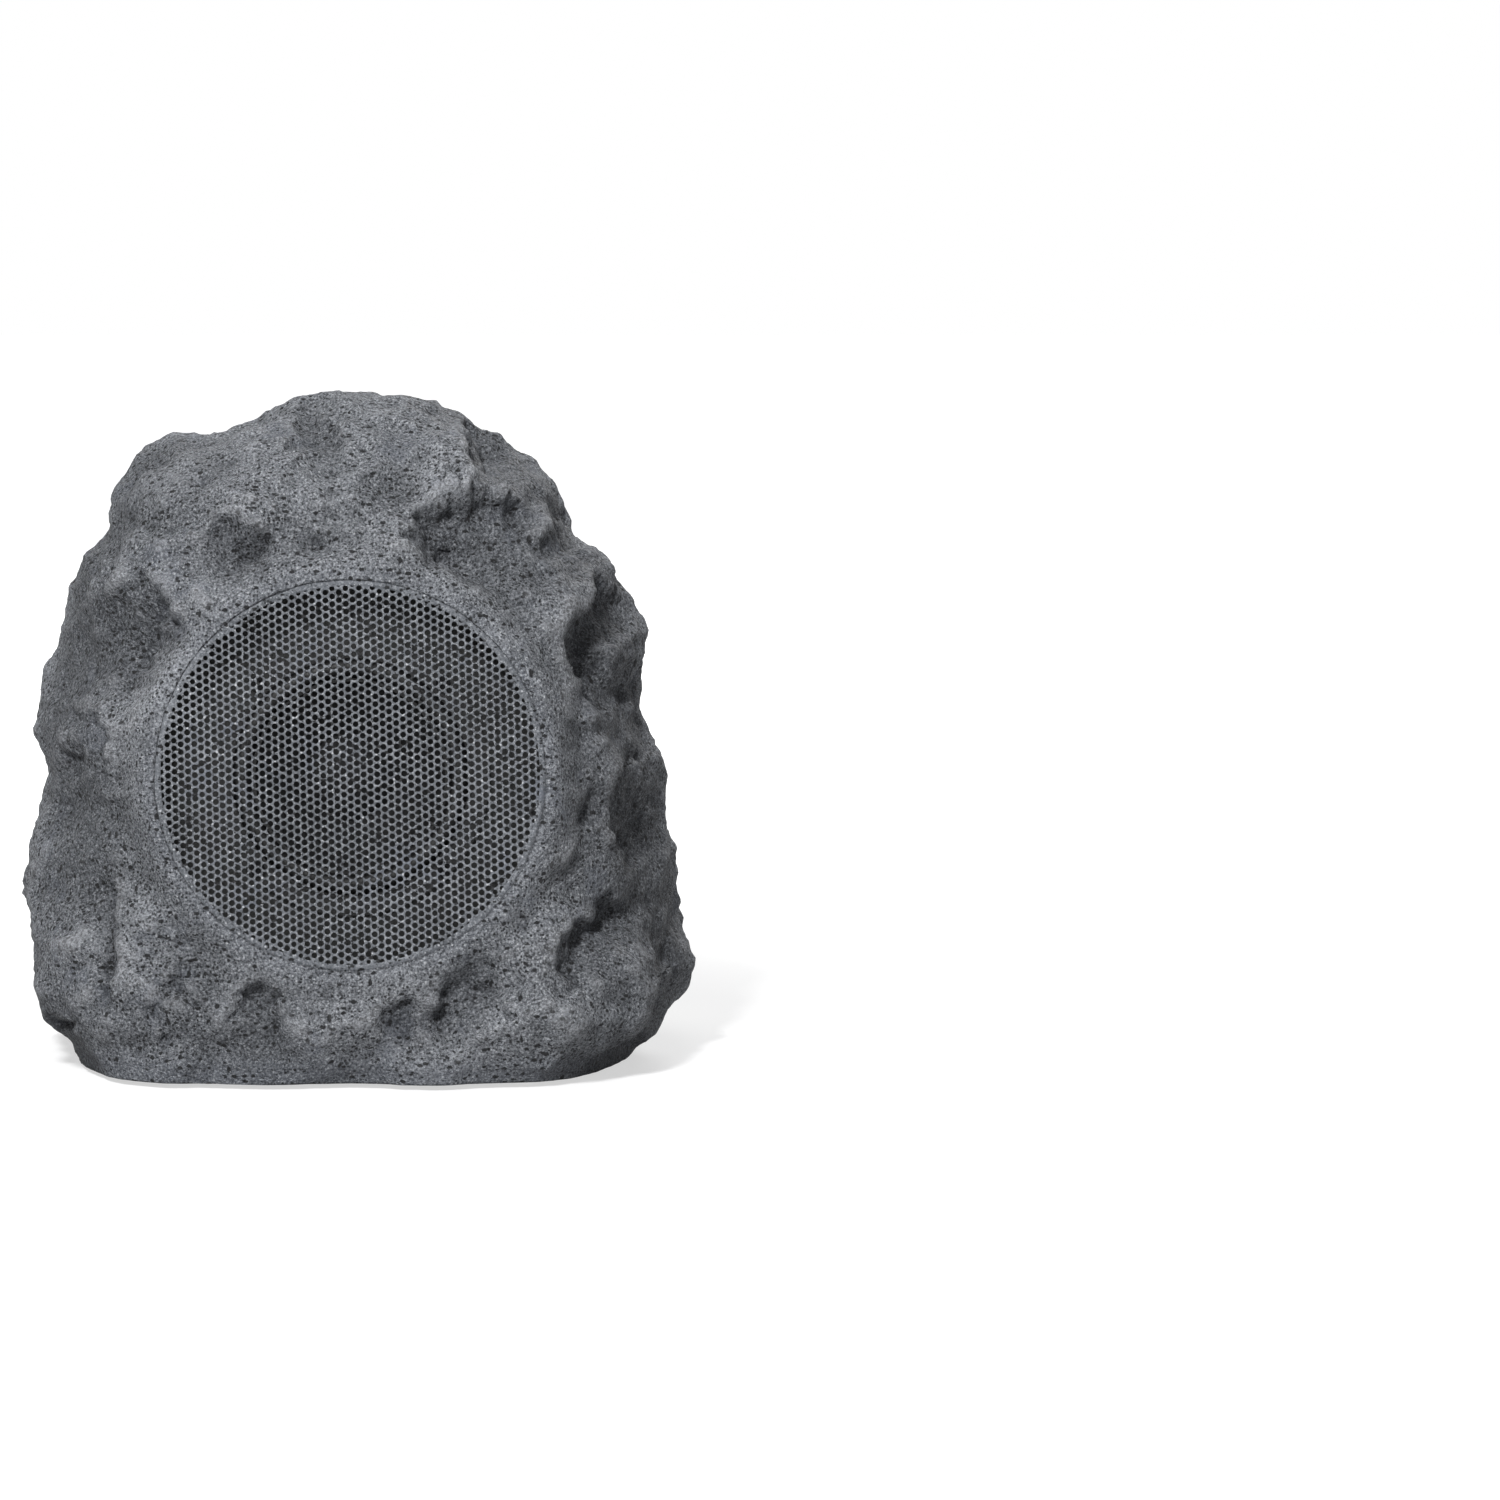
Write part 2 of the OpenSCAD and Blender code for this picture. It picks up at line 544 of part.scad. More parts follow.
module driver_gasket() color([0.16, 0.16, 0.17]) on_face() difference() {
    ring(basket_r + 0.6, driver_r, -shelf_depth, flange_z);
    for (a = [45:90:315]) rotate([0, 0, a]) translate([screw_r, 0, -shelf_depth - 1])
        cylinder(r = 1.8, h = 5, $fn = 24);
}

module driver_frame() color([0.13, 0.13, 0.14]) on_face() difference() {
    rotate_extrude($fn = 96) polygon([
        [driver_r, flange_z], [driver_r, flange_top], [roll_outer - 2.5, flange_top], [roll_outer - 2.5, flange_z - 1],
        [spider_r + 2.5, spider_z + 0.2], [spider_r + 0.5, spider_z - 0.3], [spider_r - 4, spider_z - 0.3],
        [spider_r - 4, spider_z - 1.8], [spider_r + 1.5, spider_z - 1.8], [spider_r + 1.5, basket_bottom],
        [plate_hole_r + 1, basket_bottom], [plate_hole_r + 1, plate_front], [spider_r + 3, plate_front],
        [spider_r + 3, spider_z - 1.4], [spider_r + 5, spider_z - 0.6], [basket_r, flange_z - 1.5], [basket_r, flange_z]
    ]);
    for (a = [0:60:300]) rotate([0, 0, a]) translate([spider_r + 5, -8, spider_z + 1.5])
        cube([30, 16, flange_z - 2.5 - spider_z - 1.5]);
    for (a = [45:90:315]) rotate([0, 0, a]) translate([screw_r, 0, flange_z - 1]) cylinder(r = 1.8, h = 4, $fn = 24);
}

module surround() color([0.05, 0.05, 0.06]) on_face() {
    mid = (roll_outer + roll_inner) / 2;
    r = roll_w / 2;
    base = cone_top + 0.1;
    rotate_extrude($fn = 96) intersection() {
        translate([mid, base]) difference() {
            circle(r = r, $fn = 32);
            circle(r = r - 0.7, $fn = 32);
        }
        translate([mid - 2 * r, base]) square([4 * r, 2 * r]);
    }
    ring(mid + r - 0.7, roll_outer + 1.2, flange_top + 0.1, base + 0.4);
    ring(roll_inner - 1.2, mid - r + 0.7, cone_top + 0.1, cone_top + 0.8);
}

module cone() color([0.10, 0.10, 0.11]) on_face() rotate_extrude($fn = 96) polygon([
    [cone_neck_r, cone_bottom], [cone_edge_r - 1.5, cone_top - cone_t], [cone_edge_r, cone_top - cone_t],
    [cone_edge_r, cone_top], [cone_edge_r - 1.9, cone_top], [cone_neck_r, cone_bottom + 1.3]
]);

module dust_cap() color([0.12, 0.12, 0.13]) on_face() {
    rise = 6;
    r = (cap_r * cap_r + rise * rise) / (2 * rise);
    intersection() {
        translate([0, 0, cap_at + rise - r]) difference() {
            sphere(r = r, $fn = 96);
            sphere(r = r - 0.8, $fn = 96);
        }
        translate([0, 0, cap_at]) cylinder(r = cap_r + 1, h = rise + 1);
    }
}

module voice_coil() color([0.72, 0.40, 0.18]) on_face()
    ring(coil_r, coil_r + coil_t, cone_bottom + 2.4 - coil_l, cone_bottom + 2.4);

module spider() color([0.80, 0.62, 0.32]) on_face() rotate_extrude($fn = 96) {
    first = coil_r + coil_t + 0.1;
    n = 5;
    w = (spider_r - 5.5 - first) / n;
    polygon(concat(
        [[first, spider_z]],
        [for (i = [0:n * 8]) [first + i * w / 8, spider_z + 0.5 + 0.9 * sin(i * 45)]],
        [[spider_r, spider_z + 0.5], [spider_r, spider_z]],
        [for (i = [n * 8:-1:1]) [first + i * w / 8, spider_z + 0.9 * sin(i * 45)]]
    ));
}

module top_plate() color(steel) on_face() ring(plate_hole_r, magnet_d / 2 - 2, magnet_front, plate_front);
module magnet() color([0.24, 0.24, 0.26]) on_face() ring(plate_hole_r + 4, magnet_d / 2, magnet_back, magnet_front);
module back_plate() color(steel) on_face() {
    translate([0, 0, magnet_back - yoke_t]) cylinder(r = magnet_d / 2 - 2, h = yoke_t);
    translate([0, 0, magnet_back - hair]) cylinder(r = pole_r, h = plate_front - magnet_back);
}

module terminal_tag() color([0.55, 0.40, 0.22]) on_face() rotate([0, 0, -150])
    translate([spider_r + 3.2, -7, spider_z - 8.2]) cube([1.6, 14, 5.8]);

module driver_screws() color(steel) on_face()
    for (a = [45:90:315]) rotate([0, 0, a]) translate([screw_r, 0, flange_top]) screw(2.9, 2, 1.4, 6.5);

module base_plate() color(black_plastic) difference() {
    union() {
        translate([0, 0, rim_z]) linear_extrude(plate_t) polygon(plate_outline);
        translate([board_at.x, board_at.y, plate_top - hair]) at_corners([board_l / 2 - 4, board_w / 2 - 4])
            cylinder(r = 3, h = post_h + hair, $fn = 32);
    }
    for (p = foot_at) translate([p.x, p.y, -1]) cylinder(d = foot_d + 2 * fit, h = rim_z + 2);
    for (p = base_screw_at) translate([p.x, p.y, -1]) cylinder(r = 2.2, h = 10, $fn = 24);
    for (p = base_screw_at) translate([p.x, p.y, -1]) cylinder(r = 4.2, h = rim_z + 2.2, $fn = 32);
    translate([board_at.x, board_at.y, 0]) at_corners([board_l / 2 - 4, board_w / 2 - 4])
        translate([0, 0, plate_top + 1]) cylinder(r = 1.35, h = post_h, $fn = 24);
}

module base_screws() color(steel)
    for (p = base_screw_at) translate([p.x, p.y, rim_z + 1.2]) mirror([0, 0, 1]) screw(3.8, 1.1, 1.6, 12);

module foot(i) color([0.07, 0.07, 0.07]) translate([foot_at[i].x, foot_at[i].y, 0]) {
    cylinder(d = foot_d - 2, h = 1.2);
    translate([0, 0, 0.6]) cylinder(d = foot_d, h = rim_z + 0.4);
}
module foot_front_left() foot(0);
module foot_front_right() foot(1);
module foot_back_left() foot(2);
module foot_back_right() foot(3);

module panel_gasket() color([0.14, 0.14, 0.15]) on_panel() difference() {
    round_block([panel_w - 1, panel_h - 1], 5.5, -rebate_depth, -panel_back);
    block(well + [2, 2] * (well_wall + fit), -20, 5);
    at_corners(panel_screw_at) translate([0, 0, -10]) cylinder(r = 1.8, h = 20, $fn = 24);
}

module control_panel() color(black_plastic) on_panel() difference() {
    union() {
        round_block([panel_w, panel_h], 6, -panel_back, -seat);
        round_block(well + [2, 2] * well_wall, 3, -floor_back, -seat - 1);
        for (p = panel_post_at) translate([p.x, p.y, -board_top]) cylinder(r = 2.5, h = board_top - 10, $fn = 24);
    }
    round_block(well, 2, -well_depth, 5);
    for (i = [0:3]) translate([first_button + i * button_pitch, 0, -30]) cylinder(r = button_r + fit, h = 40);
    translate([light_x, 0, -30]) cylinder(r = 1.9, h = 40, $fn = 24);
    translate([socket_x, 0, -30]) cylinder(r = 4.4, h = 40);
    at_corners(panel_screw_at) translate([0, 0, -10]) cylinder(r = 1.8, h = 20, $fn = 24);
    for (p = panel_post_at) translate([p.x, p.y, -board_top - 1]) cylinder(r = 1.05, h = 7, $fn = 24);
}

module panel_screws() color(steel) on_panel() at_corners(panel_screw_at) translate([0, 0, -seat]) screw(2.7, 1.6, 1.4, 7);

module button_board() color(board_green) on_panel() difference() {
    block(well - [2, 1], -button_board_back, -board_top);
    for (p = panel_post_at) translate([p.x, p.y, -30]) cylinder(r = 1.4, h = 40, $fn = 24);
}

module switch_bodies() color([0.16, 0.16, 0.17]) on_panel()
    for (i = [0:3]) translate([first_button + i * button_pitch, 0, 0]) difference() {
        block([6, 6], -board_top, -switch_top);
        translate([0, 0, -switch_top - 2]) cylinder(r = 2.1, h = 5, $fn = 32);
    }

module button(i) color([0.20, 0.20, 0.22]) on_panel() translate([first_button + i * button_pitch, 0, 0]) {
    translate([0, 0, -keeper_back]) cylinder(r = button_r, h = keeper_back - well_depth + button_proud - 0.5);
    translate([0, 0, -well_depth + button_proud - 0.5 - hair]) cylinder(r = button_r - 0.4, h = 0.5 + hair);
    translate([0, 0, -keeper_back]) cylinder(r = button_r + 1.2, h = keeper_t);
}
module plunger(i) color([0.75, 0.74, 0.70]) on_panel() translate([first_button + i * button_pitch, 0, 0])
    translate([0, 0, -switch_top - 1.2]) cylinder(r = 1.7, h = switch_top + 1.2 - keeper_back, $fn = 32);
module power_button() button(0);
module link_button() button(1);
module volume_down_button() button(2);
module volume_up_button() button(3);
module power_plunger() plunger(0);
module link_plunger() plunger(1);
module volume_down_plunger() plunger(2);
module volume_up_plunger() plunger(3);

module status_light() color([0.55, 0.75, 0.95]) on_panel() translate([light_x, 0, 0]) {
    translate([0, 0, -board_top]) cylinder(r = 1.5, h = board_top - well_depth + 0.2, $fn = 32);
    translate([0, 0, -well_depth + 0.2]) sphere(r = 1.5, $fn = 32);
}

module charging_socket() color([0.06, 0.06, 0.07]) on_panel() translate([socket_x, 0, 0]) difference() {
    union() {
        translate([0, 0, -board_top]) cylinder(r = 4, h = board_top - well_depth + 0.4);
        block([10, 12], -board_top, -floor_back - 0.3);
    }
    translate([0, 0, -board_top + 1.2]) cylinder(r = 2.9, h = 20);
}
module socket_pin() color(steel) on_panel() translate([socket_x, 0, -board_top + 1.2])
    cylinder(r = 1, h = board_top - well_depth - 2.2, $fn = 32);
module panel_lead_socket() color([0.88, 0.86, 0.80]) on_panel() translate([-14, 0, 0])
    block([10, 6], -button_board_back - 5, -button_board_back);

module main_board() color(board_green) translate([board_at.x, board_at.y, 0]) difference() {
    block([board_l, board_w], board_z, part_z);
    at_corners([board_l / 2 - 4, board_w / 2 - 4]) translate([0, 0, board_z - 1]) cylinder(r = 1.6, h = 4, $fn = 24);
}
module board_screws() color(steel) {
    translate([board_at.x, board_at.y, part_z]) at_corners([board_l / 2 - 4, board_w / 2 - 4]) screw(2.4, 1.6, 1.2, 6);
    on_panel() for (p = panel_post_at) translate([p.x, p.y, -button_board_back]) mirror([0, 0, 1]) screw(2, 1.4, 0.95, 5);
}
module on_board(x, y) translate([board_at.x + x, board_at.y + y, 0]) children();
module amplifier_chip() color([0.08, 0.08, 0.08]) on_board(-18, 4) block([12, 12], part_z, part_z + 1.8);
module heat_sink() color([0.62, 0.63, 0.65]) on_board(-18, 4) {
    block([26, 24], part_z + 1.8, part_z + 4.8);
    for (i = [-4:4]) translate([i * 2.9, 0, 0]) block([1.1, 24], part_z + 4.8 - hair, part_z + 15);
}
module wireless_module() color([0.75, 0.76, 0.77]) on_board(22, 12) {
    block([16, 13], part_z, part_z + 0.9);
    block([13.5, 10.5], part_z + 0.9 - hair, part_z + 2.6);
}
module capacitors() color([0.10, 0.12, 0.30]) for (p = [[4, -8], [16, -8], [28, -8]])
    on_board(p[0], p[1]) translate([0, 0, part_z]) cylinder(r = 4.5, h = 13);
module lead_sockets() color([0.88, 0.86, 0.80]) {
    on_board(-36, 14) block([8, 8], part_z, part_z + 6);
    on_board(38, 2) block([6, 10], part_z, part_z + 6);
    on_board(2, 22) block([12, 6], part_z, part_z + 6);
}

tray = [cell_l + 2 + 2 * tray_wall, 2 * cell_d + 1.5 + 2 * tray_wall];
module battery_tray() color(black_plastic) translate([tray_at.x, tray_at.y, 0]) difference() {
    block(tray, plate_top, plate_top + tray_h);
    block(tray - [2, 2] * tray_wall, plate_top + 1.4, plate_top + 40);
    block([tray.x - 24, 60], plate_top + 7, plate_top + 40);
}
module cell(side) color([0.16, 0.34, 0.62])
    translate([tray_at.x - cell_l / 2, tray_at.y + side * (cell_d / 2 + 0.25), plate_top + 1.4 + cell_d / 2])
    rotate([0, 90, 0]) {
        cylinder(d = cell_d, h = cell_l - 1.2);
        cylinder(d = cell_d * 0.45, h = cell_l);
    }
module battery_cell_1() cell(-1);
module battery_cell_2() cell(1);

function face_point(p) = face_origin + [0, 0, rim_z] + [p.x, 0, 0] + face_up * p.y + face_normal * p.z;
function panel_point(p) = panel_origin + [0, 0, rim_z] + [-p.x, 0, 0] + panel_up * p.y + panel_normal * p.z;
function tag_point(out) = face_point([(spider_r + 4.8 + out) * cos(-150), (spider_r + 4.8 + out) * sin(-150),
    spider_z - 5]);

module driver_lead() color([0.55, 0.08, 0.07]) lead([
    tag_point(lead_d / 2 + 0.1), tag_point(12), [-58, -30, 62], [-84, -8, 48],
    [board_at.x - 37, board_at.y + 12, 32], [board_at.x - 36, board_at.y + 14, part_z + 6.5]
], [0.3, 1, 0.2]);
module battery_lead() color([0.10, 0.10, 0.10]) lead([
    [tray_at.x - tray.x / 2 + 8, tray_at.y, plate_top + cell_d + 3.6], [tray_at.x - tray.x / 2 - 6, tray_at.y - 1, 29],
    [board_at.x + 48, board_at.y + 1.5, part_z + 4.4], [board_at.x + 41.9, board_at.y + 2, part_z + 3]
], [0, 1, 0]);
module panel_lead() color([0.30, 0.30, 0.32]) lead([
    panel_point([-14, 0, -button_board_back - 5.9]), panel_point([-14, 0, -button_board_back - 12]),
    [-10, 56, 50], [-40, 44, 34], [board_at.x + 2, board_at.y + 23, 30], [board_at.x + 2, board_at.y + 22, part_z + 6.5]
], [1, 0.2, 0]);

stone_shell();
grille();
baffle();
driver_gasket();
driver_frame();
surround();
cone();
dust_cap();
voice_coil();
spider();
top_plate();
magnet();
back_plate();
terminal_tag();
driver_screws();
base_plate();
base_screws();
foot_front_left();
foot_front_right();
foot_back_left();
foot_back_right();
control_panel();
panel_gasket();
panel_screws();
button_board();
switch_bodies();
power_button();
link_button();
volume_down_button();
volume_up_button();
power_plunger();
link_plunger();
volume_down_plunger();
volume_up_plunger();
status_light();
charging_socket();
socket_pin();
panel_lead_socket();
main_board();
board_screws();
amplifier_chip();
heat_sink();
wireless_module();
capacitors();
lead_sockets();
battery_tray();
battery_cell_1();
battery_cell_2();
driver_lead();
battery_lead();
panel_lead();
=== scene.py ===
import bpy
import math
import numpy as np
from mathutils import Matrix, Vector


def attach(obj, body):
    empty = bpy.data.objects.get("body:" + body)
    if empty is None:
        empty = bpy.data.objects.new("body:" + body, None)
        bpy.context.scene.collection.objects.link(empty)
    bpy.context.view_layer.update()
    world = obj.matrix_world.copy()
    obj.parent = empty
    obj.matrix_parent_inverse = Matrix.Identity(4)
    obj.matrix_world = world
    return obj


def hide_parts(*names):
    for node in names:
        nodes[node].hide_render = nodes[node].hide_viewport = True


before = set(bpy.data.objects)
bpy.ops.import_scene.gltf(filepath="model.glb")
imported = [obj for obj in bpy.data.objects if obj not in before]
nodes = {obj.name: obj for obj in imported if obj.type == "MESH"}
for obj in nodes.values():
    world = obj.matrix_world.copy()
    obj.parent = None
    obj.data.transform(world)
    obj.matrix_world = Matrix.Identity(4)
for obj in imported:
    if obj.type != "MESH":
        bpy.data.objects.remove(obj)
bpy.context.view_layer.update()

scene = bpy.context.scene
mm = 0.001
pi = math.pi


# the stone, close to part.scad's, in mm and with z counted from the rim; it is drawn 1 mm smaller, because the
# breakage adds to it
stone = dict(size=(261, 203, 261), drawn=(265, 208, 269), rim=2.0, wall=5.0, square=2.8, squareFoot=3.6,
             cornerWarp=4.8, frontWarp=27.0, girth=648.0, facetSoft=70, facetPower=2, sideChips=46,
             sideDepth=3.2, sideSlope=0.35, smoothTop=0.93)
face = dict(at=(-3.0, -92.0, 121.5), tilt=8.0, flat=80.1, blend=15.0, innerFlat=83.5, innerBlend=13.0)
panel = dict(at=(0.0, 97.0, 74.0), tilt=6.0, flat=(53.0, 26.0), blend=15.0)

leftEdge = [(117, 0), (124, 9), (131, 23), (131, 42), (132, 70), (127.5, 86), (126, 100), (125, 117), (128.5, 131),
            (126, 148), (121, 163), (116.5, 183), (112, 203), (101, 215), (97, 231), (88, 243), (75, 250),
            (58, 249), (40, 256), (25, 266), (8, 268.5), (-10, 269)]
rightEdge = [(112, 0), (121, 7), (127, 21), (132.5, 37), (128.5, 52), (129, 70), (126, 87), (124, 104), (122.5, 123),
             (116, 138), (112.5, 153), (112, 171), (106, 188), (100, 200), (95, 205), (87, 209), (81, 220),
             (77, 232), (69, 241), (59, 253), (43, 261.5), (27, 265), (10, 269)]
frontEdge = [(98, 0), (103, 8), (105, 20), (104, 34), (101, 52), (98, 72), (95, 97), (92, 121), (88, 150),
             (83.5, 180), (79, 203), (73, 218), (63, 232), (49, 245), (34, 255), (17, 264), (0, 269)]
backEdge = [(95, 0), (100, 8), (103, 22), (102, 45), (98, 75), (94, 105), (89, 130), (84, 158), (77, 180),
            (69, 200), (59, 217), (48, 231), (35, 245), (21, 256), (8, 265), (0, 269)]

# sideways place, height, how proud the facet is, its slope to the right and up
frontChips = [
    (-77, 243, 1, 0.1, -0.1), (-92, 230, -2, 0.3, 0.5), (-60, 240, 2, 0, -0.1), (-27, 245, 1, 0.1, -0.2),
    (-21, 258, -2.5, -0.1, 0.3), (0, 262, 1, 0, -0.1), (14, 240, -4, -0.3, 0), (24, 252, -3.5, -0.2, 0.2),
    (33, 243, 2, 0.15, -0.1), (22, 224, 2, 0.1, -0.2), (50, 248, -1, -0.5, 0), (64, 234, 0, -0.2, -0.2),
    (37, 224, -3, -0.5, 0.6), (28, 212, -4.5, -0.4, 0.5), (46, 218, -4, -0.1, 0.5), (56, 212, -3, 0.15, -0.2),
    (78, 212, -3, -0.3, 0.4), (88, 206, -3, -0.2, 0.4), (37, 201, -1, 0, -0.35), (60, 188, -3, -0.2, 0.1),
    (78, 193, 1, 0.1, -0.35), (95, 200, 2, 0, -0.3), (91, 178, -5, -0.8, 0.1), (91, 160, -5, -0.8, 0.1),
    (103, 170, -4, 0, 0), (76, 168, 1, 0, 0), (86, 130, 0, 0.1, -0.1), (96, 148, -2, -0.3, 0),
    (92, 110, -4, -0.3, 0.2), (109, 102, -4, -0.4, 0.3), (88, 90, -1, -0.25, 0.1), (104, 74, -2, -0.2, 0.2),
    (72, 60, 3, 0.1, -0.35), (80, 44, 3, -0.1, 0), (98, 36, -1, -0.6, 0.2), (117, 46, -3, -0.6, 0.1),
    (122, 28, -1, -0.3, 0.2), (93, 18, -2, -0.3, 0.4), (48, 30, 2, 0.1, -0.3), (31, 33, -3, -0.2, 0.1),
    (25, 16, 2, 0.15, -0.5), (57, 10, 1, 0, 0), (1, 18, -1, 0, 0.2), (8, 30, 0, 0, -0.1),
    (-18, 26, 0.5, 0.1, -0.1), (-43, 8, 2, 0, -0.5), (-41, 28, -3.5, -0.1, 0.35), (-54, 32, 1, 0.3, 0),
    (-63, 24, -2.5, -0.3, 0.1), (-74, 34, 1.5, 0.1, -0.3), (-79, 10, 2, 0.1, -0.5), (-104, 25, 1, 0.1, -0.3),
    (-114, 23, -4, -0.1, 0.4), (-89, 44, 0, 0, 0), (-96, 57, -2.5, -0.3, 0), (-87, 71, 1, 0.1, -0.1),
    (-118, 66, 1, 0.1, -0.1), (-107, 74, -1.5, -0.2, 0.1), (-87, 92, 1, 0, 0), (-113, 121, -2, 0.2, 0.2),
    (-99, 128, 0, 0, 0), (-87, 155, 2, 0.1, -0.2), (-95, 182, -2.5, 0.1, 0.3), (-80, 178, -2.5, 0.1, 0.3),
    (-106, 191, -1, 0.3, 0.2), (-100, 206, 1, 0.1, -0.4), (-82, 210, 2, 0, -0.3), (-64, 198, 3, 0.15, -0.25),
    (-45, 215, -2.5, 0, 0.4), (-18, 220, -2, 0, 0.3), (-22, 206, 1.5, 0, -0.2), (-3, 212, 0, 0, 0)]

# pieces broken out of the front: place, half width, half height, the way they run out in degrees, depth
hollows = [
    (-95, 175, 30, 22, 172, 8), (45, 199, 34, 28, -52, 13), (101, 166, 20, 27, -6, 10), (57, 243, 18, 19, -18, 7),
    (-50, 206, 16, 11, -130, 5), (-103, 54, 11, 27, 178, 5.5), (-115, 23, 8, 6, 90, 5), (-44, 27, 15, 12, -88, 5),
    (46, 29, 22, 15, -75, 5.5), (98, 50, 18, 21, -35, 8), (112, 105, 13, 24, 0, 5), (-112, 128, 14, 18, 200, 4.5),
    (-18, 234, 22, 11, -100, 4), (14, 20, 12, 9, -110, 3.5), (-70, 24, 14, 10, -60, 4.5), (88, 118, 10, 20, 10, 3)]


def ease(a, b, v):
    # smooth step from 0 at a to 1 at b
    s = np.clip((v - a) / (b - a), 0, 1)
    return s * s * (3 - 2 * s)


def mix(a, b, s):
    return a * (1 - s) + b * s


def scatter(i, j, k):
    # a random number from 0 to 1 for three whole numbers, as in part.scad
    v = np.sin(np.radians(i * 127.1 + j * 311.7 + k * 74.7)) * 43758.5453
    return v - np.floor(v)


def cellRandom(c, seed):
    # four random numbers per whole-number cell, from mixed bits of its coordinates
    h = (c[..., 0].astype(np.int64) * 73856093) ^ (c[..., 1].astype(np.int64) * 19349663)
    h = (h ^ (c[..., 2].astype(np.int64) * 83492791) ^ (seed * 2654435)) & 0xffffffff
    out = []
    for turn in range(4):
        h = (h ^ (h >> 16)) * 0x45d9f3b & 0xffffffff
        h = (h ^ (h >> 16)) * 0x45d9f3b & 0xffffffff
        h = (h ^ (h >> 16)) & 0xffffffff
        out.append(h / 4294967295.0)
        h = (h + 0x9e3779b9 * (turn + 1)) & 0xffffffff
    return out


def valueNoise(p, size):
    # random numbers at the corners of a grid, blended smoothly between them, from -1 to 1
    q = p / size
    c = np.floor(q)
    f = ease(0, 1, q - c)

    def row(j, k):
        return mix(scatter(c[..., 0], c[..., 1] + j, c[..., 2] + k),
                   scatter(c[..., 0] + 1, c[..., 1] + j, c[..., 2] + k), f[..., 0])
    return 2 * mix(mix(row(0, 0), row(1, 0), f[..., 1]), mix(row(0, 1), row(1, 1), f[..., 1]), f[..., 2]) - 1


def fineNoise(p, size, seed):
    # the same with better scattered numbers, for the grain
    q = p / size
    c = np.floor(q)
    f = ease(0, 1, q - c)
    total = 0
    for dx in (0, 1):
        for dy in (0, 1):
            for dz in (0, 1):
                w = np.abs(1 - dx - f[..., 0]) * np.abs(1 - dy - f[..., 1]) * np.abs(1 - dz - f[..., 2])
                total = total + w * cellRandom(c + (dx, dy, dz), seed)[0]
    return 2 * total - 1


def scoops(p, size, seed, crisp, plain=False):
    # every grid cell holds one jittered point; the height is the smallest of squared distance plus a random
    # start over all near points, which leaves hollows that meet in ridges, like stone broken with a hammer
    q = p / size
    c = np.floor(q)
    total = 0
    for dx in (-1, 0, 1):
        for dy in (-1, 0, 1):
            for dz in (-1, 0, 1):
                cell = c + (dx, dy, dz)
                if plain:
                    x, y, z = cell[..., 0] + 17 * seed, cell[..., 1], cell[..., 2]
                    jx, jy, jz, start = (scatter(x, y, z), scatter(x + 91, y, z),
                                         scatter(x, y + 57, z), scatter(x, y, z + 33))
                else:
                    jx, jy, jz, start = cellRandom(cell, seed)
                d = q - cell - np.stack([jx, jy, jz], -1)
                total = total + np.exp(-crisp * (np.sum(d * d, -1) + 0.45 * start))
    return -np.log(total) / crisp


def alongEdge(edge, t):
    # the point a share t of the way along an outline
    pts = np.array(edge, float)
    run = np.concatenate([[0], np.cumsum(np.linalg.norm(np.diff(pts, axis=0), axis=1))])
    run = run / run[-1]
    return np.interp(t, run, pts[:, 0]), np.interp(t, run, pts[:, 1])


def smoothStone(turn, t):
    # plan: |cos|^n + |sin|^n to the power -1/n, stretched to the four outlines at that height
    lx, lz = alongEdge(leftEdge, t)
    rx, rz = alongEdge(rightEdge, t)
    fy, fz = alongEdge(frontEdge, t)
    by, bz = alongEdge(backEdge, t)
    front = np.abs(turn) <= 90
    a = np.radians(turn)
    boxy = mix(stone["squareFoot"], stone["square"], ease(0.06, 0.25, t))
    q = (np.abs(np.cos(a)) ** boxy + np.abs(np.sin(a)) ** boxy) ** (-1 / boxy)
    out = np.where(front, fy, by)
    up = np.where(turn >= 0, rz, lz) * np.sin(a) ** 2 + np.where(front, fz, bz) * np.cos(a) ** 2
    w, d, h = stone["size"]
    w0, d0, h0 = stone["drawn"]
    return np.stack([((rx - lx) / 2 + np.sin(a) * q * (rx + lx) / 2) * w / w0,
                     -np.cos(a) * q * out * d / d0, up * h / h0], -1)


def chipped(ax, az, chips):
    # every facet is a small plane, and the nearest counts most
    top = 0
    bottom = 0
    for cx, cz, high, sx, sz in chips:
        dx = ax - cx
        dx = dx - stone["girth"] * np.round(dx / stone["girth"])
        dz = az - cz
        w = 1 / (dx * dx + dz * dz + stone["facetSoft"]) ** stone["facetPower"]
        top = top + w * (0.55 * high + sx * dx + sz * dz)
        bottom = bottom + w
    return top / bottom


# facets of the sides and the back, by the same formula as in part.scad
sideList = [((scatter(i, 1, 0) - 0.5) * stone["girth"], scatter(i, 2, 0) * 270,
             (scatter(i, 3, 0) - 0.5) * 2 * stone["sideDepth"], (scatter(i, 4, 0) - 0.5) * 2 * stone["sideSlope"],
             (scatter(i, 5, 0) - 0.5) * 2 * stone["sideSlope"]) for i in range(stone["sideChips"])]


